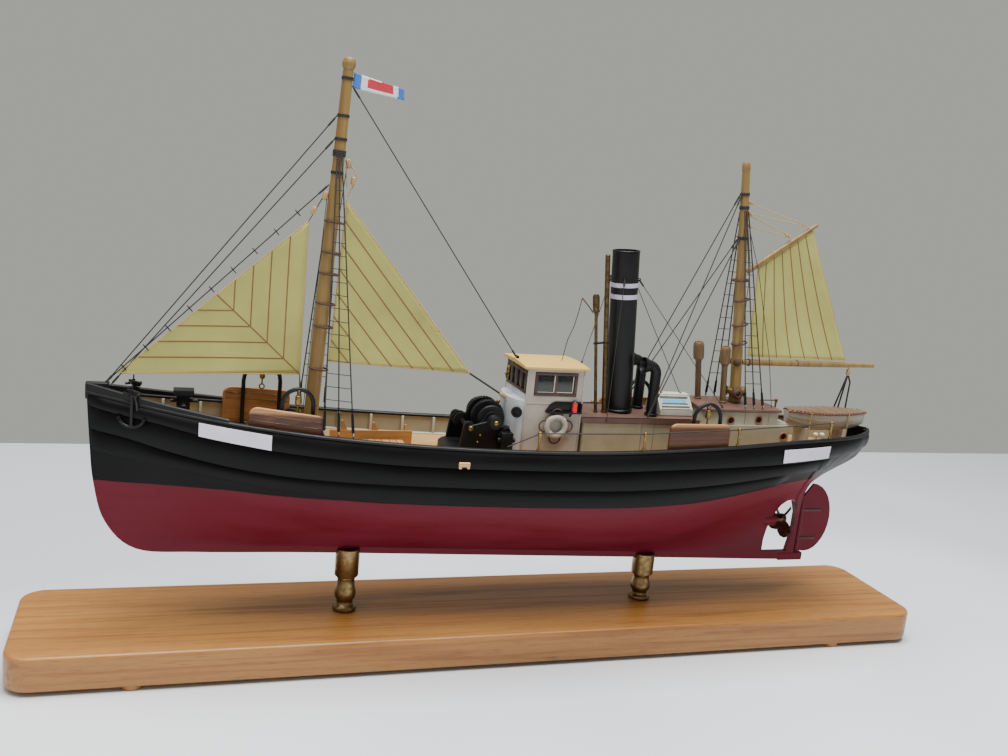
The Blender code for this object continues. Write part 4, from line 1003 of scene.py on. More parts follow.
def make_plates(tree):
    """Blank white name plates at the bow and the quarter, on both sides."""
    bodies = []
    for xs, tops, bottoms in (((-206.4, -166.0), (153.6, 149.0), (145.9, 140.4)),
                              ((174.0, 214.4), (146.0, 147.6), (136.9, 138.9))):
        for side in (-1, 1):
            bm = plate_on(tree, xs, tops, bottoms, 0.9)
            bodies.append(bm if side < 0 else mirrored(bm))
    store("blank_plates", bodies, "plate_white", "white_paint", crease=40, ease=0.12)
    y = side_of(tree, -52.0, 134.6)
    fairleads = []
    for side in (-1, 1):
        bm = block((-55.4, -48.4), (y - 1.3, y + 1.0), (132.6, 136.6), 0.4)
        bm = less(bm, [block((-53.6, -50.2), about(y, 3), (131.0, 133.9), 0)])
        fairleads.append(bm if side < 0 else mirrored(bm))
    store("side_fairleads", fairleads, "light_wood", "spar_wood", ease=0.15)


# Sails and flag

def belly(corners, depth):
    """How far the cloth stands to starboard at (x, z): nothing at its edges, most in its middle."""
    sides = list(zip(corners, corners[1:] + corners[:1]))

    def product(x, z):
        total = 1.0
        for (x1, z1), (x2, z2) in sides:
            total *= abs((x2 - x1) * (z - z1) - (z2 - z1) * (x - x1)) / math.hypot(x2 - x1, z2 - z1)
        return total
    middle = product(sum(c[0] for c in corners) / len(corners), sum(c[1] for c in corners) / len(corners))
    return lambda x, z: depth * product(x, z) / middle


def strip_on(path, wide, thick, swell):
    """A flat strip along points in the sail's plane, following its belly."""
    rings = []
    for i, (x, z) in enumerate(path):
        a, b = path[max(i - 1, 0)], path[min(i + 1, len(path) - 1)]
        run = Vector((b[0] - a[0], b[1] - a[1])).normalized() * wide / 2
        y = swell(x, z)
        rings.append([(x - run.y, y - thick / 2, z + run.x), (x - run.y, y + thick / 2, z + run.x),
                      (x + run.y, y + thick / 2, z - run.x), (x + run.y, y - thick / 2, z - run.x)])
    return capped(net_of_rings(rings))


def between_points(a, b, steps):
    """Evenly spaced points from a to b."""
    return [(a[0] + (b[0] - a[0]) * k / steps, a[1] + (b[1] - a[1]) * k / steps) for k in range(steps + 1)]


def cloth_panel(corners, swell, steps):
    """The sail's cloth as one closed sheet; three corners run together at the first one."""
    if len(corners) == 3:
        a, b, c = (Vector(p) for p in corners)

        def flat(u, v):
            return a + u * ((1 - v) * (b - a) + v * (c - a))
    else:
        a, b, c, d = (Vector(p) for p in corners)

        def flat(u, v):
            return (1 - v) * ((1 - u) * a + u * b) + v * ((1 - u) * d + u * c)

    def point(u, v):
        p = flat(u, v)
        return (p.x, swell(p.x, p.y), p.y)
    return surface(steps, steps, point)


def make_sail(name, corners, seams, depth):
    """One sail: bellied cloth, sewn seams and a tan bolt rope round its edge."""
    swell = belly(corners, depth)
    sail = store(name + "_cloth", cloth_panel(corners, swell, 28), "sailcloth", stands_for=(name,),
                 crease=60)
    thickened(sail, 0.5)
    strips = [strip_on(between_points(a, b, 16), 0.75, 0.72, swell) for a, b in seams]
    stitched = store(name + "_seams", strips, "seam_thread", "sailcloth", crease=50)
    sides = list(zip(corners, corners[1:] + corners[:1]))
    edges = [[(x, swell(x, z), z) for x, z in between_points(a, b, 12)] for a, b in sides]
    bound = strung(name + "_bolt_rope", edges, 0.38, 6, "edge_rope", "sailcloth")


def line_meets(p, direction, a, b):
    """Where a line from p meets the line through a and b."""
    d = Vector(direction)
    e = Vector(b) - Vector(a)
    f = Vector(a) - Vector(p)
    share = (f.x * e.y - f.y * e.x) / (d.x * e.y - d.y * e.x)
    return tuple(Vector(p) + d * share)


def part_way(a, b, share):
    """The point of a sail's plane that lies a share of the way from a to b."""
    return tuple(Vector(a).lerp(Vector(b), share))


def make_sails():
    """Jib on its stay with a mitred cut, trysail on the foremast's hoops, and a gaff-headed mizzen."""
    stay_rise = (STAY[1][1] - STAY[0][1]) / (STAY[1][0] - STAY[0][0])
    tack = (-251.0, STAY[0][1] + stay_rise * (-251.0 - STAY[0][0]) - 1.2)
    clew, head = JIB_CLEW, JIB_HEAD
    mitre = part_way(tack, head, 0.51)
    seams = [(mitre, clew)]
    for k in range(1, 5):
        turn = part_way(mitre, clew, 0.2 * k)
        for direction in (Vector(head) - Vector(clew), Vector(clew) - Vector(tack)):
            seams.append((turn, line_meets(turn, direction, tack, head)))
    make_sail("jib", [tack, clew, head], seams, 2.2)
    tack, head = [(along(FOREMAST, z).x + 7.4, z) for z in (187.0, 285.0)]
    clew = TRYSAIL_CLEW
    shares = [0.88 - 0.149 * k for k in range(6)]
    seams = [(part_way(tack, clew, share), part_way(tack, head, share)) for share in shares]
    make_sail("trysail", [tack, clew, head], seams, 2.4)
    tack, clew, peak, throat = (162.8, 201.6), (244.4, 201.8), (200.0, 292.6), (160.6, 264.4)
    seams = [(part_way(tack, clew, k / 7), part_way(throat, peak, k / 7)) for k in range(1, 7)]
    make_sail("mizzen_sail", [tack, clew, peak, throat], seams, 2.6)


def make_flag():
    """Small white flag with a blue band at each end and a red bar between them."""
    hoist = [along(FOREMAST, z).x + 3.6 for z in (350.0, 358.8)]
    a, b, c, d = (Vector(p) for p in ((hoist[0], 350.0), (-96.2, 346.4), (-96.8, 352.6), (hoist[1], 358.8)))

    def point(u, v):
        p = (1 - v) * ((1 - u) * a + u * b) + v * ((1 - u) * d + u * c)
        return (p.x, 1.3 * u * math.sin(u * 6.0), p.y)
    bm = surface(40, 12, point)
    for face in bm.faces:
        x, z = face.calc_center_median().xz
        u = (x - a.x) / (b.x - a.x)
        low = a.y + (b.y - a.y) * u
        v = (z - low) / (d.y - a.y)
        if u < 0.16 or u > 0.86:
            face.material_index = 1
        elif 0.27 < u < 0.76 and 0.2 < v < 0.8:
            face.material_index = 2
    flag = store("silk_flag", bm, "flag_cloth", stands_for=("flag",), crease=60)
    flag.data.materials.append(finishes["flag_blue"])
    flag.data.materials.append(finishes["flag_red"])
    thickened(flag, 0.35)


# Spars and rigging

def pulley(at, size=2.0, direction=(0, 0, 1)):
    """A rope block: a rounded wooden shell."""
    bm = block((-size * 0.42, size * 0.42), (-size * 0.5, size * 0.5), (-size * 0.8, size * 0.8),
               size * 0.34, 4)
    return towards(bm, at, direction)


def collar(spar, z, radius, thick, turns=3):
    """Turns of thread round a leaning spar."""
    axis = (amid(spar[1]) - amid(spar[0])).normalized()
    pitch = 1.7 * thick
    return [ring(along(spar, z + pitch * k), radius, thick, axis, 24, 6) for k in range(turns)]


def make_spars():
    """Masts, boom and gaff, with their hoops, bands of thread, beads and jaw."""
    heel = Vector((FOREMAST[0][0], 0, deck(FOREMAST[0][0]) + 0.5))
    head = amid(FOREMAST[1])
    tall = (head - heel).length
    step = FORE_STEP - heel.z
    profile = ((4.4, 0), (4.3, step * 0.5), (3.8, step), (3.7, step + 2), (3.5, step + 3), (3.1, tall - 8),
               (2.9, tall - 7), (3.3, tall - 6.4), (3.8, tall - 5.2), (3.95, tall - 4), (3.8, tall - 2.6),
               (3.1, tall - 1.1), (1.8, tall - 0.2))
    store("fore_pole", turned(profile, heel, head - heel, 40), "spar_wood", stands_for=("foremast",),
          crease=30)
    heel, head = amid(MIZZEN[0]), amid(MIZZEN[1])
    tall = (head - heel).length
    profile = ((4.4, 0), (4.4, 3), (3.9, 4), (3.7, tall * 0.4), (3.1, tall * 0.76), (2.7, tall - 8),
               (2.5, tall - 6.6), (2.9, tall - 5.4), (2.95, tall - 4), (2.9, tall - 1.8), (2.0, tall - 0.2))
    bracket = turned(((3.4, 0), (5.0, 3.4), (6.9, 4.8), (7.2, 5.4), (7.2, 7.4), (6.8, 7.7), (3.6, 7.8)),
                     heel + Vector((0, 0, 1.8)), head - heel, 36)
    store("mizzen_pole", [turned(profile, heel, head - heel, 40), bracket], "spar_wood",
          stands_for=("mizzen_mast",), crease=30)
    hoops = []
    for z in MAST_HOOPS:
        hoops.append(ring(along(FOREMAST, z) + Vector((1.6, 0, 0)), 5.6, 0.6, (0.1, 0, 1), 28, 8))
    for z in MIZZEN_HOOPS:
        hoops.append(ring(along(MIZZEN, z) + Vector((1.2, 0, 0)), 5.2, 0.55, (-0.25, 0, 1), 28, 8))
    store("mast_hoops", hoops, "hoop_brown", "spar_wood", stands_for=("foremast",), crease=60)
    bands = []
    for spar, z, radius, thick, turns in (
            (FOREMAST, 354.3, 3.25, 0.35, 3), (FOREMAST, 333.0, 3.4, 0.35, 3),
            (FOREMAST, 319.5, 3.5, 0.35, 3), (FOREMAST, 300.0, 3.6, 0.35, 3), (MIZZEN, 312.0, 3.0, 0.4, 3),
            (MIZZEN, 282.8, 3.35, 0.4, 3), (FOREMAST, 310.5, 3.55, 0.55, 4), (MIZZEN, 303.0, 3.1, 0.45, 3)):
        bands += collar(spar, z, radius, thick, turns)
    store("mast_bands", bands, "cord", crease=60)
    parrel = []
    for c, s in spokes(11):
        centre = along(MIZZEN, 254.7 + 0.5 * c) + Vector((4.9 * c, 4.9 * s, 0))
        parrel.append(turned(((0.4, -1.0), (0.9, -0.6), (1.15, 0), (0.9, 0.6), (0.4, 1.0)), centre,
                             sides=12))
    store("parrel_beads", parrel, "hoop_brown", "spar_wood", crease=60)
    heel = along(MIZZEN, 197.6) + Vector((4.1, 0, 0))
    run = Vector((269.6, 0, 199.0)) - heel
    long = run.length
    profile = ((1.9, 0), (2.2, 6), (2.2, long * 0.55), (1.7, long - 2), (1.7, long - 0.4), (1.2, long))
    store("boom_spar", turned(profile, heel, run, 24), "spar_wood", stands_for=("boom",))
    profile = ((1.0, 0), (2.4, 0.8), (3.1, 2.4), (2.4, 4.0), (1.2, 4.8))
    jaw = [turned(profile, heel + Vector((-7.5, s * 3.4, 0)), (1, -s * 0.45, 0), 20) for s in (-1, 1)]
    jaw.append(ring(heel + Vector((5.4, 0, 0)), 2.1, 0.7, run, 20, 8))
    jaw.append(ring(heel + Vector((45.0, 0, 0.7)), 2.1, 0.4, run, 20, 8))
    store("boom_jaw", jaw, "hoop_brown", "spar_wood", stands_for=("boom",), crease=60)
    heel = along(MIZZEN, 260.8) + Vector((4.9, 0, 0))
    run = Vector((202.8, 0, 297.0)) - heel
    long = run.length
    profile = ((1.5, 0), (1.9, 1.2), (1.9, long * 0.5), (1.3, long - 0.6), (0.9, long))
    store("gaff_spar", turned(profile, heel, run, 24), "spar_wood", stands_for=("gaff",))


def make_ladders():
    """Shrouds with ratlines, each rope ending in a turnbuckle with a bright shackle."""
    ropes, rungs, screws, links = [], [], [], []
    for spar, feet_x, high, side_shift, count, mast_gap in (
            (FOREMAST, (-136.6, -128.0, -119.4), 308, 6.0, 18, 4.6),
            (MIZZEN, (154.0, 161.0, 168.0), 300, 9.0, 14, 4.0)):
        mast = along(spar, high)
        for side in (-1, 1):
            lines = []
            for i, x in enumerate(feet_x):
                x -= side_shift if side > 0 else 0
                if spar == FOREMAST:
                    foot = Vector((x, side * (beam(x) - 0.4), sheer(x) + RAIL_TOP + 0.4))
                else:
                    foot = Vector((x, side * 19.8, 168.6))
                tip = Vector((mast.x + (i - 1) * 1.4, side * (mast_gap - 0.9), mast.z + 1.5))
                lines.append((foot, tip))
                start, stop = foot.lerp(tip, 0.02), foot.lerp(tip, 0.085)
                screws.append(rod(start, stop, 0.95, 10, 0.75))
                screws.append(rod(stop, foot.lerp(tip, 0.105), 0.5, 8))
                links.append(ring(foot.lerp(tip, 0.012), 0.9, 0.25, (1, 0, 0), 14, 6))
            ropes += lines
            drop = Vector((0, 0, 0.12))
            for k in range(count):
                level = 0.13 + 0.8 * k / (count - 1)
                a, b, c = [foot.lerp(tip, level) for foot, tip in lines]
                rungs.append([a, a.lerp(b, 0.5) - drop, b, b.lerp(c, 0.5) - drop, c])
    nodes = [mast + "_shrouds_" + side for mast in ("fore", "mizzen") for side in ("port", "starboard")]
    strung("shroud_ropes", ropes, 0.42, 8, "cord", stands_for=nodes)
    strung("ratlines", rungs, 0.26, 6, "cord", stands_for=nodes)
    store("shroud_screws", screws, "black_paint", crease=40)
    store("shroud_shackles", links, "steel", "fitting_brass", crease=60)


def make_running_lines():
    """Stays, halyards and sheets, with their blocks, servings and hanks."""
    dark, thin, tan, served, blocks, eyes = [], [], [], [], [], []
    stay_foot, stay_head = amid(STAY[0]), amid(STAY[1])
    stays = []
    for z, x in ((333.4, -258.2), (319.9, -254.6)):
        stays.append((along(FOREMAST, z) - Vector((3.6, 0, 0)), Vector((x, 0, 168.9))))
    stays.append((stay_head + Vector((0.6, 0, 0.6)), stay_foot))
    stays.append((along(FOREMAST, 351.0) + Vector((3.3, 0, 0)), Vector((-9.0, 0, 194.0))))
    for z in (312.4, 283.2):
        for side in (-1, 1):
            stays.append((along(MIZZEN, z) + Vector((-2.9, side, 0)), Vector((80.0, side * 20.3, 160.6))))
    for head, foot in stays:
        long = (foot - head).length
        dark.append([head, foot])
        served.append([head.lerp(foot, 0.01), head.lerp(foot, min(0.2, 8.0 / long))])
        served.append([foot.lerp(head, 0.005), foot.lerp(head, min(0.2, 6.0 / long))])
    for reach, foot in (((8.6, -4.0, 0), (136.0, -20.4, 169.0)), ((8.6, 4.0, 0), (124.5, 20.4, 169.0)),
                        ((-4.0, -8.6, 0), (50.0, -21.4, 157.6)), ((-6.5, 6.8, 0), (33.4, -8.0, 193.8))):
        eye, foot = along(FUNNEL, 250.5) + Vector(reach), Vector(foot)
        eyes.append(ring(eye, 1.0, 0.3, (0, 1, 0.2), 14, 6))
        thin.append([eye, foot])
        served += [[eye, eye.lerp(foot, 0.05)], [foot, foot.lerp(eye, 0.02)]]
    store("stay_eyes", eyes, "black_paint", crease=60)
    thin.append([(45.4, -4.6, 252.4), (51.6, -3.0, 251.2)])

    # Jib: halyard blocks and fall, hanks on the stay
    upper, jib_head = Vector((-139.2, 0, 286.6)), amid(JIB_HEAD)
    blocks += [pulley(upper, 3.6, (0.3, 0, 1)), pulley((-145.4, 0, 277.6), 3.2, (0.5, 0, 1))]
    thin += [[upper + Vector((-1, -0.5, 0)), jib_head], [upper + Vector((-0.6, 0.5, 0)), jib_head],
             [upper + Vector((1, -1.2, 0)), (-140.8, -4.2, 240.0), (-145.0, -4.9, 160.0),
              (-145.6, -4.6, 137.0)]]
    clip = [Vector(p) for p in ((-1.3, -0.2, 1.3), (0, -0.9, 0), (1.7, -0.5, -1.9), (1.7, 0.5, -1.9),
                                (0, 0.9, 0), (-1.3, 0.2, 1.3))]
    centres = [stay_foot.lerp(stay_head, 0.085 + 0.097 * k) for k in range(9)]
    hanks = [[centre + point for point in clip] for centre in centres]

    # Trysail: halyard, fall and sheet; jib: sheets
    peak = Vector((-126.6, 0, 306.4))
    blocks += [pulley(peak, 3.6, (-0.3, 0, 1)), pulley((-123.2, 0, 296.6), 3.2, (0.1, 0, 1))]
    tan += [[peak + Vector((-1.6, -0.4, -1.4)), (-126.6, -0.4, 292.6)],
            [peak + Vector((1.0, 0.4, -1.0)), (-122.4, 0.3, 303.0), (-121.4, 0, 299.0), (-123.0, 0, 293.6),
             (-126.0, 0.4, 287.0)]]
    thin.append([peak + Vector((-0.6, 1.6, -1)), (-131.6, 5.0, 250), (-134.4, 5.2, 160),
                 (-135.6, 5.0, 136.6)])
    clew, tackle = amid(TRYSAIL_CLEW), Vector((-17.4, -3.4, 169.6))
    blocks.append(pulley(tackle, 3.0, (0.75, -0.1, -0.6)))
    served.append([clew, clew.lerp(tackle, 0.96)])
    tan.append([tackle, (-12.6, -5.5, 165.4)])
    for side in (-1, 1):
        thin.append([amid(JIB_CLEW), (-146.0, 6.0 * side, 160.0), (-146.4, 8.0 * side, 137.0)])

    # Mizzen: gaff's spans with their blocks, falls, boom's strop and sheets
    for z, point, side in ((307.5, (196.6, 0.5, 294.9), 0.6), (300.3, (196.2, -0.5, 294.7), -0.6),
                           (299.0, (179.6, 0.5, 288.8), 0.6), (291.6, (179.2, -0.5, 287.0), -0.6)):
        tan.append([along(MIZZEN, z) + Vector((4.4, side, 0)), point])
    for z in (307.5, 300.0, 291.8):
        blocks.append(pulley(along(MIZZEN, z) + Vector((4.6, 0, 0)), 2.5, (0.9, 0, -0.5)))
    blocks.append(pulley((180.6, 0, 287.6), 2.8, (0.9, 0, -0.4)))
    fall = along(MIZZEN, 289.6) + Vector((4.4, -1.0, 0))
    thin += [[fall, (158.4, -4.6, 262.0), (172.0, -12.0, 204.0), (176.6, -17.0, 169.0)],
             [fall + Vector((0, 2, 0)), (157.4, 4.6, 262.0), (160.0, 6.0, 200.0), (160.6, 6.4, 178.4)]]
    strop = (248.6, 0, 198.0)
    tan += [[strop, (247.4, -1.4, 194.0)], [strop, (249.8, 1.4, 194.0)]]
    blocks.append(pulley((248.6, 0, 193.2), 3.0))
    served += [[(247.6, -0.9, 190.8), (245.6, 10.8, 152.6)], [(248.6, 0.2, 190.4), (250.6, 10.4, 152.6)],
               [(249.8, 0.9, 190.8), (253.6, 2.6, 185.4), (258.0, 9.4, 152.6)]]
    served.append([(stay_foot.x + 0.4 * k, 0.5 * (-1) ** k, stay_foot.z - 2.4 + 0.5 * k) for k in range(8)])
    strung("standing_stays", dark, 0.36, 8, "cord", stands_for=("forestay",))
    strung("halyards", thin, 0.24, 6, "cord")
    strung("tan_tackles", tan, 0.4, 6, "tan_rope", "cord")
    strung("servings", served, 0.62, 8, "cord")
    strung("jib_hanks", hanks, 0.28, 6, "black_paint")
    store("rope_blocks", blocks, "block_wood", "spar_wood", crease=50)

    # Coils belayed round the mizzen's foot
    coil = []
    centre = along(MIZZEN, 177.6)
    for out in (Vector((-0.3, -1, 0)).normalized(), Vector((0.3, 1, 0)).normalized()):
        for k in range(4):
            middle = centre + out * (6.8 + 0.5 * k) - Vector((0, 0, 1.6))
            coil.append(ring(middle, 3.3 - 0.35 * k, 0.62, out + Vector((0.12 * k, 0, 0.1)), 24, 6))
    for c, s in spokes(8):
        out = Vector((c, s, 0))
        coil.append(rod(centre + out * 6.2 - Vector((0, 0, 4.0)), centre + out * 6.9 + Vector((0, 0, 2.4)),
                        0.5, 8))
    store("belayed_coils", coil, "hoop_brown", "cord", crease=60)


# Deckhouses

def frame_of(outer, wide, depth, ease=0.25):
    """A rectangular frame in X and Z between two depths in Y, with bars of one width."""
    x0, x1, z0, z1 = outer
    sides = (z0 + wide, z1 - wide)
    return gathered([block((x0, x1), depth, (z0, sides[0]), ease),
                     block((x0, x1), depth, (sides[1], z1), ease),
                     block((x0, x0 + wide), depth, sides, ease), block((x1 - wide, x1), depth, sides, ease)])


def make_wheelhouse():
    """House with its beads, windows, curtains, wheel, roof board and the fittings on them."""
    x0, x1, half, top = WHEELHOUSE
    wx0, wx1, wz0, wz1 = SIDE_WINDOW
    front_half, sill, head = FRONT_WINDOW
    walls = of_node("wheelhouse")
    for face in walls.faces:
        centre = face.calc_center_median()
        facing = face.normal.x * (centre.x - (x0 + x1) / 2) + face.normal.y * centre.y
        if centre.x < x0 + 0.2 and centre.z < 174.3:
            face.material_index = 1
        # Inside faces in dark brown: painted shade inside the house
        elif centre.x > x0 and facing < -1.0:
            face.material_index = 2
    walls = store("wheelhouse_walls", walls, "grey_paint", stands_for=("wheelhouse",), ease=0.2)
    walls.data.materials.append(finishes["front_white"])
    walls.data.materials.append(finishes["shaded_inner_walls"])
    beads = []
    for side in (-1, 1):
        y = side * (half + 0.1)
        beads.append(block((x0 - 0.2, x1 + 0.2), about(y, 0.3), (168.4, 169.0), 0.2))
        beads.append(block((x0 - 0.2, x1 + 0.2), about(y, 0.3), (135.0, 136.4), 0.2))
        for x in (x0 + 0.2, x1 - 0.2):
            beads.append(block(about(x, 0.5), about(y, 0.4), (135.0, top), 0.25))
    beads.append(block((x1 - 0.3, x1 + 0.4), (-half, half), (173.0, 173.8), 0.2))
    store("wheelhouse_beads", beads, "grey_paint")
    frames, panes, bars = [], [], []
    middle = (wx0 + wx1) / 2
    for side in (-1, 1):
        ys = sorted((side * (half + 0.4), side * (half - 1.6)))
        frames.append(frame_of((wx0 + 0.1, wx1 - 0.1, wz0 + 0.1, wz1 - 0.1), 1.9, ys))
        frames.append(block(about(middle, 0.7), ys, (wz0 + 2.0, wz1 - 2.0), 0.2))
        y = side * (half - 0.6)
        for a, b in ((wx0 + 2.0, middle - 0.6), (middle + 0.6, wx1 - 2.0)):
            panes.append(block((a - 0.3, b + 0.3), about(y, 0.25), (wz0 + 1.7, wz1 - 1.7), 0.05))
        for xs, thick, zs in (((middle - 1.5, middle - 0.8), 0.6, (wz0 + 2.2, wz1 - 2.0)),
                              ((middle - 0.2, wx1 - 2.6), 0.5, (wz0 + 2.2, wz0 + 2.8)),
                              ((wx0 + 2.2, middle - 1.0), 0.5, (wz0 + 2.2, wz0 + 2.6)),
                              ((wx1 - 3.2, wx1 - 2.6), 0.5, (wz0 + 2.4, wz1 - 2.2))):
            bars.append(block(xs, about(y, thick), zs, 0.15))
    pitch = 2 * front_half / 4
    for z in ((sill + 0.1, sill + 2.1), (head - 2.1, head - 0.1)):
        frames.append(block((x0 - 0.5, x0 + 1.6), (-front_half + 0.1, front_half - 0.1), z, 0.25))
    for k in range(5):
        y = min(max(-front_half + pitch * k, -front_half + 1.4), front_half - 1.4)
        frames.append(block((x0 - 0.5, x0 + 1.6), about(y, 1.3), (sill + 2.1, head - 2.1), 0.25))
    for k in range(4):
        a = -front_half + pitch * k + 1.0
        panes.append(block((x0 + 0.4, x0 + 0.9), (a, a + pitch - 2.0), (sill + 1.6, head - 1.6), 0.05))
    store("window_frames", frames, "window_wood",
          stands_for=("window_front", "window_port", "window_starboard"))
    store("window_panes", panes, "glass", "window_wood", crease=30)
    store("window_bars", bars, "white_paint")
    curtains = []
    for side in (-1, 1):
        y = side * (half - 2.6)
        curtains.append(surface(24, 4, lambda u, v: (
            middle + 0.4 + 6.5 * u, y + 0.5 * math.sin(u * 26), wz0 + 15.4 * v)))
    for k in range(4):
        a = -front_half + pitch * k + 1.5
        curtains.append(surface(16, 4, lambda u, v: (
            x0 + 2.4 + 0.4 * math.sin(u * 24), a + 3.2 * u, sill + 14.8 * v)))
    hung = gathered(curtains)
    bmesh.ops.solidify(hung, geom=hung.faces[:], thickness=0.3)
    store("curtains", hung, "curtain", "window_wood", crease=60)
    hub = (x0 + 8.0, 0, 166.0)
    spoke = ((0.25, 0), (0.5, 2.4), (0.3, 5.0), (0.35, 6.6), (0.6, 7.8), (0.3, 8.8))
    wheel = [ring(hub, 6.4, 0.5, (1, 0, 0), 32, 8)]
    wheel += [turned(spoke, hub, (0, c, s), 10) for c, s in spokes(8)]
    wheel.append(rod((x0 + 5.0, 0, 166.0), (x0 + 9.0, 0, 166.0), 1.4, 16))
    wheel.append(block((x0 + 3.4, x0 + 6.0), (-3.0, 3.0), (137.0, 171.0), 0.4))
    store("steering_wheel", wheel, "window_wood")
    rings = []
    z = top + 0.1
    for x, inset in ((x0 - 2.8, 0.4), (x0 - 2.4, 0.0), (x1 + 2.2, 0.0), (x1 + 2.6, 0.4)):
        wide = 22.4 - inset
        crown = [(x, wide * s, z + 1.6 + 1.2 * (1 - s * s) - inset) for s in [k / 8 - 1 for k in range(17)]]
        rings.append([(x, -wide, z)] + crown + [(x, wide, z)])
    store("roof_board", capped(net_of_rings(rings)), "roof_wood", stands_for=("wheelhouse_roof",),
          ease=0.3)
    lamp_shade = ((0.3, 0), (1.1, 0.4), (1.3, 1.4), (1.7, 2.6), (2.3, 3.6), (2.0, 3.6))
    lamp_top = ((1.3, 0), (1.5, 0.5), (1.5, 3.4), (1.0, 4.4), (0.5, 5.2))
    roof_lamp = [turned(lamp_shade, (x0 - 5.4, 3.4, 179.2), sides=18),
                 turned(lamp_top, (x0 - 5.0, 3.4, 183.2), sides=16),
                 rod((x0 - 5.0, 3.4, 187.6), (x0 - 1.6, 3.4, 190.6), 0.4, 8),
                 rod((x0 - 5.2, 3.4, 181.4), (x0 - 5.0, 3.4, 184.0), 0.35, 8)]
    store("roof_lamp", roof_lamp, "fitting_brass")
    outward = (-0.6, -1.0, 0)
    porthole = [ring((-12.2, -19.0, 162.2), 2.9, 0.75, outward, 24, 8),
                turned(((2.7, 0), (2.7, 0.5), (1.9, 1.0)), (-11.9, -18.6, 162.2), outward, 24)]
    store("front_porthole", porthole, "black_paint")
    x = x0 - 1.0
    cleat = [block(about(x, 0.8), (-1.6, 1.6), (193.7, 194.6), 0.25),
             rod((x, -2.2, 195.2), (x, 2.2, 195.2), 0.45, 8), rod((x, 0, 194.0), (x, 0, 195.4), 0.5, 8)]
    store("roof_cleat", cleat, "black_paint")


def make_sidelights():
    """Black light boards with a red lamp band to port and a green one to starboard, over the life rings."""
    boards, lamps, caps = [], {}, []
    for side in (-1, 1):
        y0, y1 = side * 20.8, side * 24.2
        floor = ((6.4, y0), (8.0, side * 23.0), (11.0, y1), (30.6, y1), (30.6, y0))
        back = ((6.0, 163.6), (8.4, 163.0), (30.6, 163.0), (30.6, 170.4), (12.6, 170.4), (9.6, 168.8))
        boards.append(cut_out(floor, "Z", 162.9, 164.2, 0.2))
        boards.append(cut_out(back, "Y", *sorted((y0, side * 22.0)), 0.2))
        boards.append(block((29.6, 30.6), sorted((y0, y1)), (164.0, 169.8), 0.2))
        for x in (12.0, 24.0):
            boards.append(rod((x, side * 23.4, 163.2), (x, side * 20.8, 160.4), 0.5, 8))
        lamps[side] = rod((25.9, side * 22.6, 163.9), (25.9, side * 22.6, 170.6), 1.9, 20)
        caps.append(rod((25.9, side * 22.6, 170.4), (25.9, side * 22.6, 171.4), 2.2, 20, 1.2))
    store("light_boards", boards, "black_paint",
          stands_for=("sidelight_port", "sidelight_starboard"))
    store("light_caps", caps, "black_paint")
    store("red_lamp", lamps[-1], "lamp_red", "black_paint")
    store("green_lamp", lamps[1], "lamp_green", "black_paint")
    rings, ropes, covers = [], [], []
    for side in (-1, 1):
        centre = Vector((14.2, side * 22.8, 154.3))
        rings.append(ring(centre, 6.2, 1.9, (0, 1, 0), 40, 16))
        for k in range(4):
            turn = ROUND * k / 4
            path = []
            for j in range(-6, 7):
                a = turn + j * 0.082
                reach = 8.0 + 3.4 * math.cos(j / 6 * math.pi / 2) ** 0.7
                path.append(centre + Vector((math.sin(a) * reach, -side * 0.2, -math.cos(a) * reach)))
            ropes.append(path)
        for k in range(4):
            a = ROUND * (k + 0.5) / 4
            out = Vector((math.sin(a), 0, -math.cos(a)))
            covers.append(ring(centre + out * 6.2, 2.0, 0.28, out.cross(Vector((0, 1, 0))), 20, 6))
    store("life_rings", rings, "grey_paint", "white_paint",
          stands_for=("life_ring_port", "life_ring_starboard"), crease=60)
    strung("life_ring_ropes", ropes, 0.5, 8, "hoop_brown", "cord")
    store("life_ring_bands", covers, "white_paint", crease=60)


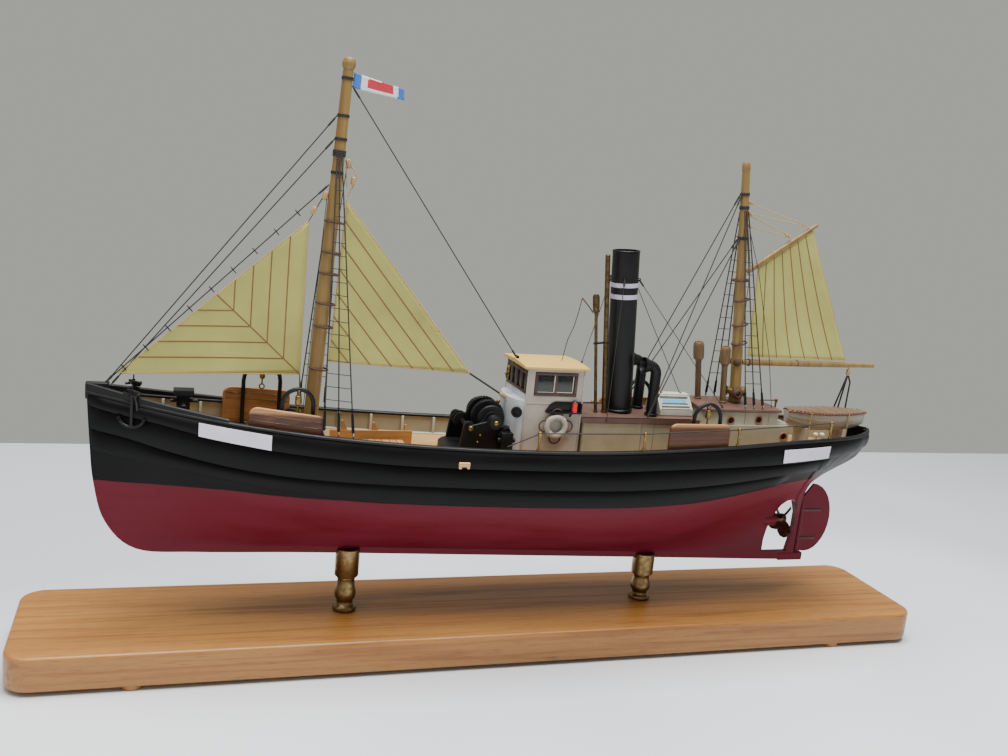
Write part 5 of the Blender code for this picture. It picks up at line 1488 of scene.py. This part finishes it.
def make_casing():
    """Engine casing with its seams and roof, and the skylight with panels, slots and hinges."""
    x0, x1, half, top = CASING
    dressed("engine_casing", "beige_paint")
    dressed("casing_roof", "brown_paint", ease=0.3)
    seams, line = [], []
    for side in (-1, 1):
        y = side * (half + 0.05)
        for x in (x0 + 0.4, x0 + 43.0, x0 + 52.0):
            seams.append(block(about(x, 0.2), about(y, 0.14), (132.4, top - 0.2), 0))
        line.append([(x0 - 1.2 + 5.0 * k, side * (half + 0.9), ROOF_TOP + 0.25) for k in range(17)])
    store("casing_seams", seams, "seam_dark", "beige_paint")
    strung("roof_edge_line", line, 0.34, 6, "black_paint")
    x0, x1, half = SKYLIGHT
    low = ROOF_TOP + 0.1
    dressed("skylight", "white_paint", ease=0.25)
    slope = Vector((0, -7.5, -8.5)).normalized()
    out = Vector((0, -8.5, 7.5)).normalized()
    panels, slots, frames = [], [], []
    for side in (-1, 1):
        for u0, u1, v0, v1, kind in ((3.4, 21.4, 2.9, 5.9, panels), (2.0, 22.6, 1.1, 2.2, slots),
                                     (2.4, 22.4, 6.2, 7.0, slots), (1.8, 23.0, 8.8, 9.6, slots),
                                     (1.4, 23.6, 0.2, 0.9, frames), (2.0, 22.8, 7.3, 8.4, frames),
                                     (1.0, 24.0, 9.9, 10.7, frames)):
            lift = 0.75 if kind is frames else 0.4
            corner = Vector((x0, -4.0, low + 12.5))
            base = [corner + slope * v + Vector((u, 0, 0))
                    for u, v in ((u0, v0), (u1, v0), (u1, v1), (u0, v1))]
            bm = prism([p - out * 0.2 for p in base], out * (lift + 0.2))
            kind.append(bm if side < 0 else mirrored(bm))
    store("skylight_panels", panels, "pale_blue", "white_paint", ease=0.08)
    # The slots are dark grey strips: painted shade in the skylight's openings
    store("skylight_slots", slots, "slot_shade_grey", "white_paint")
    store("skylight_frames", frames, "white_paint", ease=0.1)
    hinges = [rod((x, -1.2, low + 13.7), (x, 1.2, low + 13.7), 0.6, 10) for x in (x0 + 5, x1 - 5)]
    store("skylight_hinges", hinges, "fitting_brass")


def make_after_house():
    """Cabin trunk abaft the casing, with portholes, plank seams, a hatch and a stern post."""
    half, top = TRUNK[2:]
    dressed("after_house", "beige_paint")
    dressed("cabin_roof", "brown_paint", ease=0.3)
    rims, holes, seams = [], [], []
    for side in (-1, 1):
        for x, wall, z in ((144.0, half, 160.0), (166.0, half, 160.8), (186.6, 21.4, 149.6)):
            rims.append(ring((x, side * (wall + 0.1), z), 2.6, 0.55, (0, 1, 0), 28, 8))
            # Dark discs in the portholes: painted shade of the room behind them
            holes.append(rod((x, side * (wall - 0.5), z), (x, side * (wall + 0.22), z), 2.3, 28))
        for x in (136.0, 155.0, 174.0):
            y = side * (half + 0.05)
            seams.append(block(about(x, 0.15), about(y, 0.14), (157.2, top - 0.4), 0))
    store("porthole_rims", rims, "gunwale", "fitting_brass")
    store("porthole_shade_discs", holes, "porthole_painted_shade", "black_paint")
    store("house_seams", seams, "seam_dark", "beige_paint")
    wedge = ((182.6, 157.2), (182.6, 160.6), (190.4, 158.6), (190.4, 157.2))
    hatch = [cut_out(wedge, "Y", -17.0, -5.0, 0.3),
             block((182.2, 190.8), (-17.6, -4.4), (157.0, 157.8), 0.25)]
    store("house_hatch", hatch, "white_paint")
    post = [rod((193.0, 12.0, 138.6), (193.0, 12.0, 157.0), 1.6, 16),
            rod((190.6, 12.0, 157.0), (201.0, 12.0, 157.6), 1.5, 16)]
    store("stern_post", post, "black_paint")


def make_funnel():
    """Leaning black funnel with two white bands, an open top with a black disc of painted shade inside, and
    rivets round its foot.
    """
    foot, head = amid(FUNNEL[0]), amid(FUNNEL[1])
    tall = (head - foot).length
    r = FUNNEL_RADIUS
    profile = ((r + 0.6, 1.5), (r + 0.6, 2.6), (r + 0.3, 3.0), (r, 3.2), (r, tall - 1.2),
               (r + 0.25, tall - 1.0), (r + 0.25, tall - 0.2), (r, tall), (r - 1.0, tall),
               (r - 1.0, tall - 14))
    store("funnel_casing", turned(profile, foot, head - foot, 56), "funnel_black", "black_paint",
          stands_for=("funnel",), crease=30)
    bands = []
    for z0, z1 in ((237.2, 240.3), (244.9, 247.8)):
        a, b = along(FUNNEL, z0), along(FUNNEL, z1)
        high = (b - a).length
        bands.append(turned(((r - 0.1, 0), (r + 0.12, 0.05), (r + 0.12, high - 0.05), (r - 0.1, high)), a,
                            b - a, 56))
    store("funnel_bands", bands, "band_white", "white_paint", crease=30)
    # Black disc inside the funnel below its mouth: painted shade of the deep hollow
    store("funnel_shade_disc", turned(((7.4, 0), (7.4, 1.0)), along(FUNNEL, 254.4), head - foot, 40),
          "black_paint")
    rivets = []
    axis = (head - foot).normalized()
    for c, s in spokes(24):
        out = Vector((c, s, 0))
        out = (out - axis * out.dot(axis)).normalized()
        rivets.append(turned(((0.5, 0), (0.45, 0.3), (0.2, 0.45)), along(FUNNEL, 164.0) + out * (r - 0.1),
                             out, 8))
    store("funnel_rivets", rivets, "funnel_black", "black_paint")


def make_pipes():
    """Whistle and steam pipe on one clamp, with the whistle's lever and line."""
    base = ROOF_TOP + 0.3
    whistle, whistle_top = Vector((48.8, -5.0, base)), Vector((39.6, -5.0, 239.0))
    tall = (whistle_top - whistle).length
    profile = ((1.5, 0), (1.5, 0.8), (1.05, 1.0), (1.05, tall - 13), (1.4, tall - 12.6), (1.4, tall - 12),
               (2.1, tall - 11), (2.25, tall - 8), (2.3, tall - 2), (2.2, tall - 1.4), (1.7, tall))
    steam, steam_top = Vector((55.0, -5.0, base)), Vector((44.6, -5.0, 265.4))
    long = (steam_top - steam).length
    pipe = ((2.1, 0), (2.1, 0.9), (1.65, 1.1), (1.65, long - 0.3), (1.3, long), (1.1, long), (1.1, long - 6))
    bodies = [turned(profile, whistle, whistle_top - whistle, 24),
              turned(pipe, steam, steam_top - steam, 24)]
    store("pipes", bodies, "dark_brass", "fitting_brass", stands_for=("steam_pipes",), crease=30)
    a, b = whistle.lerp(whistle_top, 0.59), steam.lerp(steam_top, 0.45)
    run = (b - a).normalized()
    clamps = [rod(a - run * 1.6, b + run * 2.6, 0.75, 12), ring(a, 1.3, 0.45, whistle_top - whistle, 20, 8),
              ring(b, 1.9, 0.45, steam_top - steam, 20, 8)]
    store("pipe_clamp", clamps, "black_paint")
    cord = ((38.6, -5.6, 227.0), (35.4, -5.8, 230.6), (29.8, -5.6, 236.2), (28.6, -5.4, 228.0),
            (26.6, -5.2, 218.0), (23.0, -5.0, 208.0), (20.6, -5.0, 194.2))
    strung("whistle_lever", [cord[:3]], 0.42, 8, "hoop_brown", "fitting_brass")
    strung("whistle_line", [cord[2:]], 0.26, 6, "cord")


def make_cowls():
    """Two cowl ventilators on the casing and two turned ventilator posts abaft it."""
    x, y, top = 87.0, 11.0, 198.5
    tubes, throats = [], []
    for side in (-1, 1):
        path = [(x, side * y, ROOF_TOP + 0.2), (x, side * y, top - 10.0)]
        for k in range(1, 10):
            turn = math.radians(9 * k)
            path.append((x - 6.0 + 6.0 * math.cos(turn), side * y, top - 10.0 + 6.0 * math.sin(turn)))
        tubes.append(laid_lines([path], 3.6, 28))
        centre = Vector((x - 4.6, side * y, top - 4.3))
        profile = ((3.0, -1.0), (3.6, 0), (4.2, 1.4), (5.0, 3.4), (5.45, 4.8), (5.5, 5.4), (5.2, 5.6),
                   (4.6, 4.6), (3.4, 1.0))
        tubes.append(turned(profile, centre, (-1, 0, 0.08), 32))
        tubes.append(ring((x, side * y, ROOF_TOP + 1.2), 3.9, 0.7, (0, 0, 1), 28, 8))
        throats.append(turned(((3.3, 1.1), (3.5, 1.4)), centre, (-1, 0, 0.08), 32))
    store("cowls", tubes, "black_paint", stands_for=("cowl_port", "cowl_starboard"), crease=50)
    store("cowl_throats", throats, "throat_red", "black_paint")
    for name, foot, head, bulb in (("vent_fore", (132.0, 8.0, 169.2), (127.0, 8.0, 209.5), 3.8),
                                   ("vent_aft", (145.0, -4.0, 169.2), (141.6, -4.0, 208.8), 3.6)):
        foot, head = Vector(foot), Vector(head)
        tall = (head - foot).length
        profile = ((2.6, 0), (2.6, 0.8), (2.1, 1.1), (2.1, tall - 14), (2.6, tall - 13),
                   (bulb - 0.2, tall - 12), (bulb, tall - 10), (bulb, tall - 3), (bulb - 0.3, tall - 1.2),
                   (bulb - 1.2, tall), (1.4, tall), (1.4, tall - 2))
        store(name + "_post", turned(profile, foot, head - foot, 28), "brass_wood", "spar_wood",
              stands_for=(name,), crease=30)


# Fishing gear

def make_winch():
    """Winch barrel with its toothed rims, turns of warp, end caps and engine."""
    dressed("winch_frame", "black_paint", ease=0.2)
    x, z = -27.0, 155.9
    half = ((0.9, 25.0), (3.6, 24.9), (4.2, 24.5), (4.2, 23.6), (3.2, 22.6), (2.8, 21.0), (3.0, 19.6),
            (4.2, 18.8), (4.2, 18.3), (2.1, 18.1), (2.1, 14.3), (8.6, 14.1), (8.9, 13.6), (8.9, 12.3),
            (8.6, 11.8), (5.2, 11.6), (5.2, 6.4), (10.4, 6.2), (10.7, 5.6), (10.7, 4.2), (10.4, 3.6),
            (6.0, 3.4))
    profile = [(r, -y) for r, y in half] + [(r, y) for r, y in reversed(half)]
    store("winch_barrel", turned(profile, (x, 0, z), (0, 1, 0), 48), "black_paint",
          stands_for=("winch_drum",), crease=30)
    teeth, wraps, domes = [], [], []
    for side in (-1, 1):
        for c, s in spokes(36):
            out = Vector((c, 0, s))
            tooth = block((-0.55, 0.55), (-0.9, 0.9), (-0.5, 0.6), 0.12, 1)
            teeth.append(towards(tooth, Vector((x, side * 4.9, z)) + out * 10.55, out))
        for k in range(6):
            wraps.append(ring((x, side * (7.0 + 0.85 * k), z), 5.6 + 0.5 * (k % 2), 0.48, (0, 1, 0), 30, 6))
    for at in ((x, -25.0, z), (-42.0, -20.5, 151.3), (x, 25.0, z), (-42.0, 17.5, 151.3)):
        domes.append(turned(((1.7, -0.2), (1.7, 0.3), (1.5, 0.7), (0.9, 1.1)), at, (0, at[1], 0), 20))
    for at in ((-34.5, -17.2, 146.0), (-22.0, -19.6, 147.2), (-36.0, -17.2, 141.5)):
        domes.append(turned(((0.9, -0.2), (0.9, 0.3), (0.5, 0.8)), at, (0, -1, 0), 14))
    store("winch_teeth", teeth, "black_paint")
    store("winch_warp", wraps, "warp_dark", "cord", crease=60)
    store("winch_domes", domes, "fitting_brass")
    engine = [block((-22.4, -14.6), (-24.8, -18.6), (138.4, 149.6), 0.5),
              rod((-24.4, -22.4, 144.6), (-13.0, -22.4, 144.6), 1.6, 16),
              rod((-40.5, -17.2, 152.0), (-29.0, -17.2, 155.0), 0.7, 10),
              ring((-18.4, -21.6, 150.2), 2.0, 0.5, (0, 1, 0), 20, 8)]
    store("winch_engine", engine, "black_paint")


def make_gallows():
    """Bent steel arches with a hanging block each, on feet plates at the rail, and a sheave on the deck."""
    hooks, plates, bolts = [], [], []
    for name, x0, x1, y, top in (
            ("fore_port", -160.3, -142.0, -26.2, 176.0), ("fore_starboard", -178.9, -156.5, 22.8, 181.0),
            ("aft_port", 106.0, 125.6, -36.4, 176.0), ("aft_starboard", 89.5, 109.0, 36.4, 176.0)):
        dressed("gallows_" + name, "black_paint", ease=0)
        middle = (x0 + x1) / 2
        hooks += [ring((middle, y, top - 3.4), 1.6, 0.5, (1, 0.2, 0), 20, 8),
                  pulley((middle, y, top - 8.0), 4.0),
                  rod((middle, y, top - 10.6), (middle, y, top - 14.6), 0.5, 10),
                  ring((middle, y, top - 16.0), 1.5, 0.45, (0, 1, 0), 20, 8)]
        for x in (x0, x1):
            plates.append(block(about(x, 2.6), about(y, 2.2), (deck(x) + 0.6, deck(x) + 1.5), 0.25))
            for dx in (-1.8, 1.8):
                at = (x + dx, y - math.copysign(0.2, y), deck(x) + 1.4)
                bolts.append(turned(((0.45, 0), (0.4, 0.4), (0.2, 0.55)), at, sides=8))
    store("gallows_blocks", hooks, "fitting_brass")
    store("gallows_feet", plates, "black_paint")
    store("gallows_bolts", bolts, "black_paint")
    sheave, normal = Vector((-152.6, -8.0, 152.6)), (0.25, 1, 0.1)
    across = Vector(normal).normalized()
    first = across.orthogonal().normalized()
    second = across.cross(first)
    wheel = [ring(sheave, 5.6, 0.9, normal, 32, 8),
             ring(sheave + Vector((0.3, 1.4, 0.1)), 5.6, 0.6, normal, 32, 8),
             rod(sheave - Vector((0.3, 1.6, 0.1)), sheave + Vector((0.6, 3.0, 0.2)), 1.3, 16)]
    wheel += [rod(sheave, sheave + (first * c + second * s) * 5.4, 0.5, 8) for c, s in spokes(6)]
    wheel.append(block((-155.6, -149.6), (-8.0, -4.4), (deck(-152) + 0.4, 148.6), 0.6))
    store("deck_sheave", wheel, "black_paint")


def make_doors():
    """Trawl doors of three planks each, the port ones stained and the starboard ones with iron straps."""
    lines, straps = [], []
    for name, xs, tops, side in (
            ("fore_port", (-179.0, -135.5), (163.6, 160.5), -1),
            ("fore_starboard", (-191.0, -149.0), (164.2, 161.4), 1),
            ("aft_port", (87.0, 132.0), (162.0, 162.0), -1),
            ("aft_starboard", (71.0, 116.0), (161.6, 161.6), 1)):
        piece = dressed("trawl_door_" + name, "door_dark" if side < 0 else "door_wood", "door_wood",
                        ease=0.5)
        shell = bmesh.new()
        shell.from_mesh(piece.data)
        body = BVHTree.FromBMesh(shell)
        shell.free()

        def face_at(x, z, way):
            hit = body.ray_cast(Vector((x * MM, way * 0.2, z * MM)), Vector((0, -way, 0)))[0]
            return hit.y / MM if hit else None

        for way in (-1, 1):
            for share in (0.36, 0.68):
                path = []
                for k in range(15):
                    x = xs[0] + 1.5 + (xs[1] - xs[0] - 3.0) * k / 14
                    low = sheer(x) + 0.5
                    z = low + (tops[0] + (tops[1] - tops[0]) * k / 14 - low) * share
                    y = face_at(x, z, way)
                    if y is not None:
                        path.append((x, y, z))
                if len(path) > 2:
                    lines.append(path)
        if side < 0:
            continue
        for share in (0.22, 0.78):
            x = xs[0] + (xs[1] - xs[0]) * share
            y = face_at(x, sheer(x) + 7.0, side)
            if y is not None:
                straps.append(block(about(x, 0.9), about(y, 0.3), (sheer(x) + 3.0, tops[0] - 3.4), 0.15))
    strung("door_plank_lines", lines, 0.22, 6, "door_line", "door_wood")
    store("door_straps", straps, "black_paint")


def make_deck_gear():
    """Bitts, anchors with their ropes, the pound board, the fish hatch and coils on the deck."""
    dressed("bow_bitt", "black_paint", ease=0.4)
    pins = []
    for way in (-1, 1):
        pins.append(turned(((1.9, 0), (2.0, 0.3), (2.0, 1.0), (1.6, 1.4)), (-214.8, way * 9.8, 158.0),
                           (0, way, 0), 18))
    pins.append(rod((-222.0, 0, 160.0), (-206.6, 0, 160.0), 1.0, 14))
    pins.append(block((-221.4, -208.0), (-6.5, 6.5), (deck(-214) + 0.6, deck(-214) + 2.0), 0.4))
    store("bitt_pins", pins, "black_paint")
    for side in ("port", "starboard"):
        dressed("anchor_" + side, "black_paint")
    flukes, cable = [], []
    for side in (-1, 1):
        for way in (-1, 1):
            x = -243.0 + way * 6.6
            y = side * (beam(x) + 2.6)
            bm = bmesh.new()
            bm.faces.new([bm.verts.new(p) for p in ((x, y - 1.9, 150.2), (x, y + 1.9, 150.2),
                                                    (x + way * 1.4, y, 154.4))])
            bmesh.ops.solidify(bm, geom=bm.faces[:], thickness=0.7)
            bmesh.ops.recalc_face_normals(bm, faces=bm.faces)
            flukes.append(bm)
        at = Vector((-243.0, side * (beam(-243.0) + 2.6), 170.2))
        flukes.append(ring(at, 1.5, 0.4, (1, 0, 0), 18, 8))
        for k in range(4):
            middle = at + Vector((1.0, -side * 1.4, -2.6 - 0.5 * k))
            flukes.append(ring(middle, 3.4 - 0.3 * k, 0.75, (0.3, 0.2, 1), 24, 6))
        cable.append([at + Vector(p) for p in ((0.6, 0.2, -3.0), (2.4, side * 0.4, -8.0),
                                               (3.2, side * 0.2, -14.0))])
    store("anchor_flukes", flukes, "black_paint")
    strung("anchor_ropes", cable, 0.55, 8, "warp_dark", "cord")
    dressed("pound_board", "pound_orange", "door_wood", ease=0.3)
    bitts = []
    x, high = 208.0, BULWARK
    profile = ((1.2, 0), (1.2, high + 2.6), (1.7, high + 3.2), (1.7, high + 4.2), (1.1, high + 4.8))
    for side in (-1, 1):
        for dx in (-2.6, 2.6):
            bitts.append(turned(profile, (x + dx, side * (beam(x) - 5.4), deck(x) + 0.4), sides=20))
    store("mooring_bitts", bitts, "cream", "white_paint")
    low = deck(-95)
    hatch = [block((-108.0, -80.0), (-12.0, 2.4), (low + 0.6, low + 3.4), 0.5)]
    for k in range(6):
        x = -105.6 + 4.64 * k
        hatch.append(block(about(x, 2.1), (-11.2, 1.6), (low + 3.2, low + 4.4), 0.3))
    store("fish_hatch", hatch, "deck_trim", "deck_wood")
    coils = []
    for x, y in ((-196.0, 9.0), (-70.0, -26.0), (204.0, -16.0)):
        for k in range(5):
            coils.append(ring((x, y, deck(x) + 0.95 + 0.05 * k), 1.8 + 1.05 * k, 0.55, (0.012, 0, 1), 32, 6))
    store("deck_coils", coils, "tan_rope", "cord", crease=60)


def boat_width(t):
    """The boat's width at t, as a share of its widest; t runs from 0 at the bow to 1 at the stern."""
    return math.sin(math.pi * (0.03 + 0.94 * t)) ** 0.5


def boat_half(t):
    """The boat's half width at t."""
    return BOAT_HALF * boat_width(t)


def boat_rise(t):
    """How much higher the gunwale is at t than amidships."""
    return BOAT_RISE * (2 * t - 1) ** 2


def boat_lines(steps, start, span, out, up):
    """A line along each side of the boat, out from its gunwale and up(k) at step k."""
    lines = []
    for side in (-1, 1):
        shares = [start + span * k / steps for k in range(steps + 1)]
        lines.append([(BOAT_FROM + BOAT_LONG * t, side * (boat_half(t) + out), up(k) + boat_rise(t))
                      for k, t in enumerate(shares)])
    return lines


def make_lifeboat():
    """Boat on its chocks, with gunwale, lapped planks, a laced cover and the gripes that hold it."""
    dressed("lifeboat", "grey_paint", ease=0)
    gunwale = boat_lines(32, 0.0, 1.0, -0.1, lambda k: 163.3)
    strung("gunwale", gunwale, 0.85, 10, "gunwale", "grey_paint")
    planks = []
    for side in (-1, 1):
        for width, down in ((0.985, 0.16), (0.93, 0.36), (0.82, 0.58), (0.62, 0.77)):
            path = []
            for k in range(29):
                t = 0.02 + 0.96 * k / 28
                top = 163.5 + boat_rise(t)
                bottom = 149.5 + 5.5 * abs(2 * t - 1) ** 3
                path.append((BOAT_FROM + BOAT_LONG * t, side * boat_half(t) * width,
                             top + (bottom - top) * down))
            planks.append(path)
    strung("boat_planks", planks, 0.26, 6, "grey_paint")

    def point(u, v):
        s = 2 * v - 1
        inner = min(1.0, abs(s) / 0.86)
        edge = max(0.0, abs(s) - 0.86) / 0.14
        y = (boat_half(u) + 0.3) * inner * (1 if s > 0 else -1)
        crown = 2.6 * boat_width(u) ** 3 * (1 - inner ** 1.7)
        folds = 0.3 * math.sin(u * 41 + 5 * s) * math.sin(math.pi * v) + 0.2 * math.sin(u * 83 - 7 * s)
        z = 164.3 + boat_rise(u) + crown + folds * (1 - edge) - 0.5 * edge
        return BOAT_FROM + BOAT_LONG * u, y, z
    piece = store("boat_cloth", surface(72, 28, point), "boat_cover", stands_for=("lifeboat_cover",),
                  crease=60)
    thickened(piece, 0.4, -1)
    lacing = boat_lines(48, 0.01, 0.98, 0.75, lambda k: 164.6 if k % 2 else 162.9)
    sewn = strung("boat_lacing", lacing, 0.22, 6, "cord")
    gripes = []
    for x in (216.0, 248.0):
        for side in (-1, 1):
            gripes.append([(x, side * 9.9, 164.2), (x, side * 9.4, 158.0),
                           (x + 0.6, side * 8.6, deck(x) + 1.4)])
    strung("boat_gripes", gripes, 0.4, 8, "tan_rope", "cord")


def make_life_rails():
    """Turned stanchions along each side with a wire over their heads."""
    posts, wires = [], []
    profile = ((1.4, 0), (1.35, 0.5), (1.0, 1.0), (0.75, 2.2), (0.75, 8.6), (1.0, 9.2), (1.35, 10.0),
               (1.45, 10.8), (1.2, 11.6), (0.6, 12.2))
    for side in (-1, 1):
        path = [(-24.0, side * (beam(-24.0) - 2.0), sheer(-24.0) + 3.4)]
        for x in STANCHIONS:
            foot = Vector((x, side * (beam(x) - 1.0), sheer(x) + RAIL_TOP + 0.3))
            posts.append(turned(profile, foot, sides=20))
            path.append(foot + Vector((0, 0, 10.8)))
        wires.append(path)
    store("rail_stanchions", posts, "fitting_brass",
          stands_for=("life_rail_port", "life_rail_starboard"))
    strung("rail_wires", wires, 0.42, 8, "cord",
          stands_for=("life_rail_port", "life_rail_starboard"))


def make_steering():
    """Rudder with its straps, and the screw."""
    store("rudder_blade", of_node("rudder"), "hull_paint", body="rudder_body", stands_for=("rudder",),
          ease=0.5)
    bands = []
    for z, reach in ((66.0, 15.6), (88.0, 17.6)):
        bands.append(block((226.2, 226.2 + reach), (-1.35, 1.35), about(z, 1.1), 0.35))
    store("rudder_straps", bands, "rudder_dark", "hull_paint", body="rudder_body")
    store("screw", of_node("propeller"), "propeller_brass", body="propeller_body", stands_for=("propeller",),
          ease=0.2)


def make_plain_nodes():
    """Every CAD node that has no piece of its own yet, with its finish."""
    for name, node in frame["nodes"].items():
        if not node.hide_render:
            dressed(name, next(p["material_slot"] for p in frame["record"]["subparts"] if p["node"] == name))


make_camera()
make_studio()
finishes = {
    "oak": oak_board(),
    "pedestal_brass": brass("pedestal_brass", "88734F", "665234"),
    "hull_paint": hull_paint(),
    "propeller_brass": brass("bronze_propeller", "6A4436", "3C2420", 0.4),
    "deck_wood": deck_planks(),
    "black_paint": painted("black_enamel", "0A0A0B", "131314", 0.42, shine=0.25),
    "funnel_black": painted("funnel_black", "0C0C0C", "141415", 0.38, brush=0.015, shine=0.25),
    "spar_wood": wood("pine_spar", "846C3A", "6D5026", 2),
    "light_wood": wood("light_wood", "D6B27C", "B78F56", 0),
    "block_wood": wood("block_wood", "B9986A", "8A6640", 2, band=1.4),
    "brass_wood": wood("gilded_wood", "6E5730", "4A351C", 2),
    "hoop_brown": twisted("brown_cord", "38221B", "5A3C30"),
    "sailcloth": cloth("dyed_sailcloth", "ACA85F", "9F9952"),
    "seam_thread": twisted("seam_thread", "6E4C2C", "86603A", 0.85),
    "edge_rope": twisted("edge_rope", "A3874E", "BFA468", 0.85),
    "flag_cloth": cloth("flag_silk", "DCDCE2", "CBCCD6"),
    "flag_blue": cloth("flag_blue", "3C6FC4", "2F5CAC"),
    "flag_red": cloth("flag_red", "C4303C", "A8242F"),
    "door_wood": wood("trawl_door_wood", "A2764A", "7E5834", 0),
    "door_dark": door_finish(),
    "door_line": wood("door_plank_gap", "5A3A26", "3A2416", 0),
    "pound_orange": wood("pound_board_wood", "B07E46", "8E6232", 0),
    "grey_paint": painted("warm_white_paint", "A89F95", "988E84", 0.5),
    "roof_wood": wood("pale_roof_wood", "C8A656", "BA9648", 0, band=2.0, ring=0.8),
    "window_wood": wood("dark_window_wood", "46281F", "2E1812", 2),
    # Dark brown for the inside walls: painted shade inside the wheelhouse
    "shaded_inner_walls": wood("shaded_inner_walls", "4A3428", "32221A", 2),
    "front_white": painted("front_white", "C4C6CA", "B4B7BC", 0.45),
    "white_paint": painted("white_enamel", "B9B7A8", "AAA99A", 0.4),
    "plate_white": painted("blank_plate_white", "D9D6E2", "C6C3D0", 0.45, brush=0.01),
    "band_white": painted("funnel_band_white", "BBB6C8", "AAA3B7", 0.4),
    "beige_paint": painted("beige_paint", "9B937E", "8B826B", 0.5),
    "seam_dark": painted("joint_shadow", "7A705C", "685E4C", 0.6),
    "brown_paint": painted("pinkish_brown_stain", "62463B", "4F372F", 0.5),
    "pale_blue": painted("pale_blue_panel", "5FA6CC", "4E94BA", 0.3),
    "slot_shade_grey": painted("slot_shade_grey", "4E554E", "3A403A", 0.6),
    "porthole_painted_shade": painted("porthole_painted_shade", "24120F", "0E0808", 0.5, shine=0.1),
    "throat_red": painted("cowl_throat_red", "4A161A", "2E0E10", 0.5),
    "lamp_red": painted("lamp_red", "E0222E", "B81A24", 0.25),
    "lamp_green": painted("lamp_green", "1E9A54", "14743C", 0.25),
    "cream": painted("cream_paint", "D8C8A4", "C0AE88", 0.45),
    "curtain": cloth("curtain_cloth", "8E5248", "6A3A34"),
    "glass": window_glass(),
    "gunwale": wood("gunwale_wood", "955E46", "70402C", 0, band=1.6),
    "deck_trim": wood("hatch_boards", "B98E5E", "94683E", 1, band=1.6),
    "boat_cover": cloth("boat_cover", "695131", "563E22", 0.4),
    "fitting_brass": brass("fitting_brass", "8C7848", "5E4E2E", 0.38),
    "dark_brass": brass("dark_brass", "66543A", "42331E", 0.45),
    "steel": brass("bright_shackle", "C4C2BC", "8E8C86", 0.28),
    "rudder_dark": painted("strap_red", "4C181E", "3A1016", 0.45),
    "cord": twisted("black_thread", "1B1917", "34302C"),
    "warp_dark": twisted("tarred_warp", "201E1E", "3A3634", 0.7),
    "tan_rope": twisted("tan_rope", "9C8254", "BDA474"),
}
make_plinth()
make_pedestals()
hull_sides = make_hull()
make_rails()
make_bulwark_fittings()
make_plates(hull_sides)
for make in (make_sails, make_flag, make_spars, make_ladders, make_running_lines, make_wheelhouse,
             make_sidelights, make_casing, make_after_house, make_funnel, make_pipes, make_cowls, make_winch,
             make_gallows, make_doors, make_deck_gear, make_lifeboat, make_life_rails, make_steering,
             make_plain_nodes):
    make()
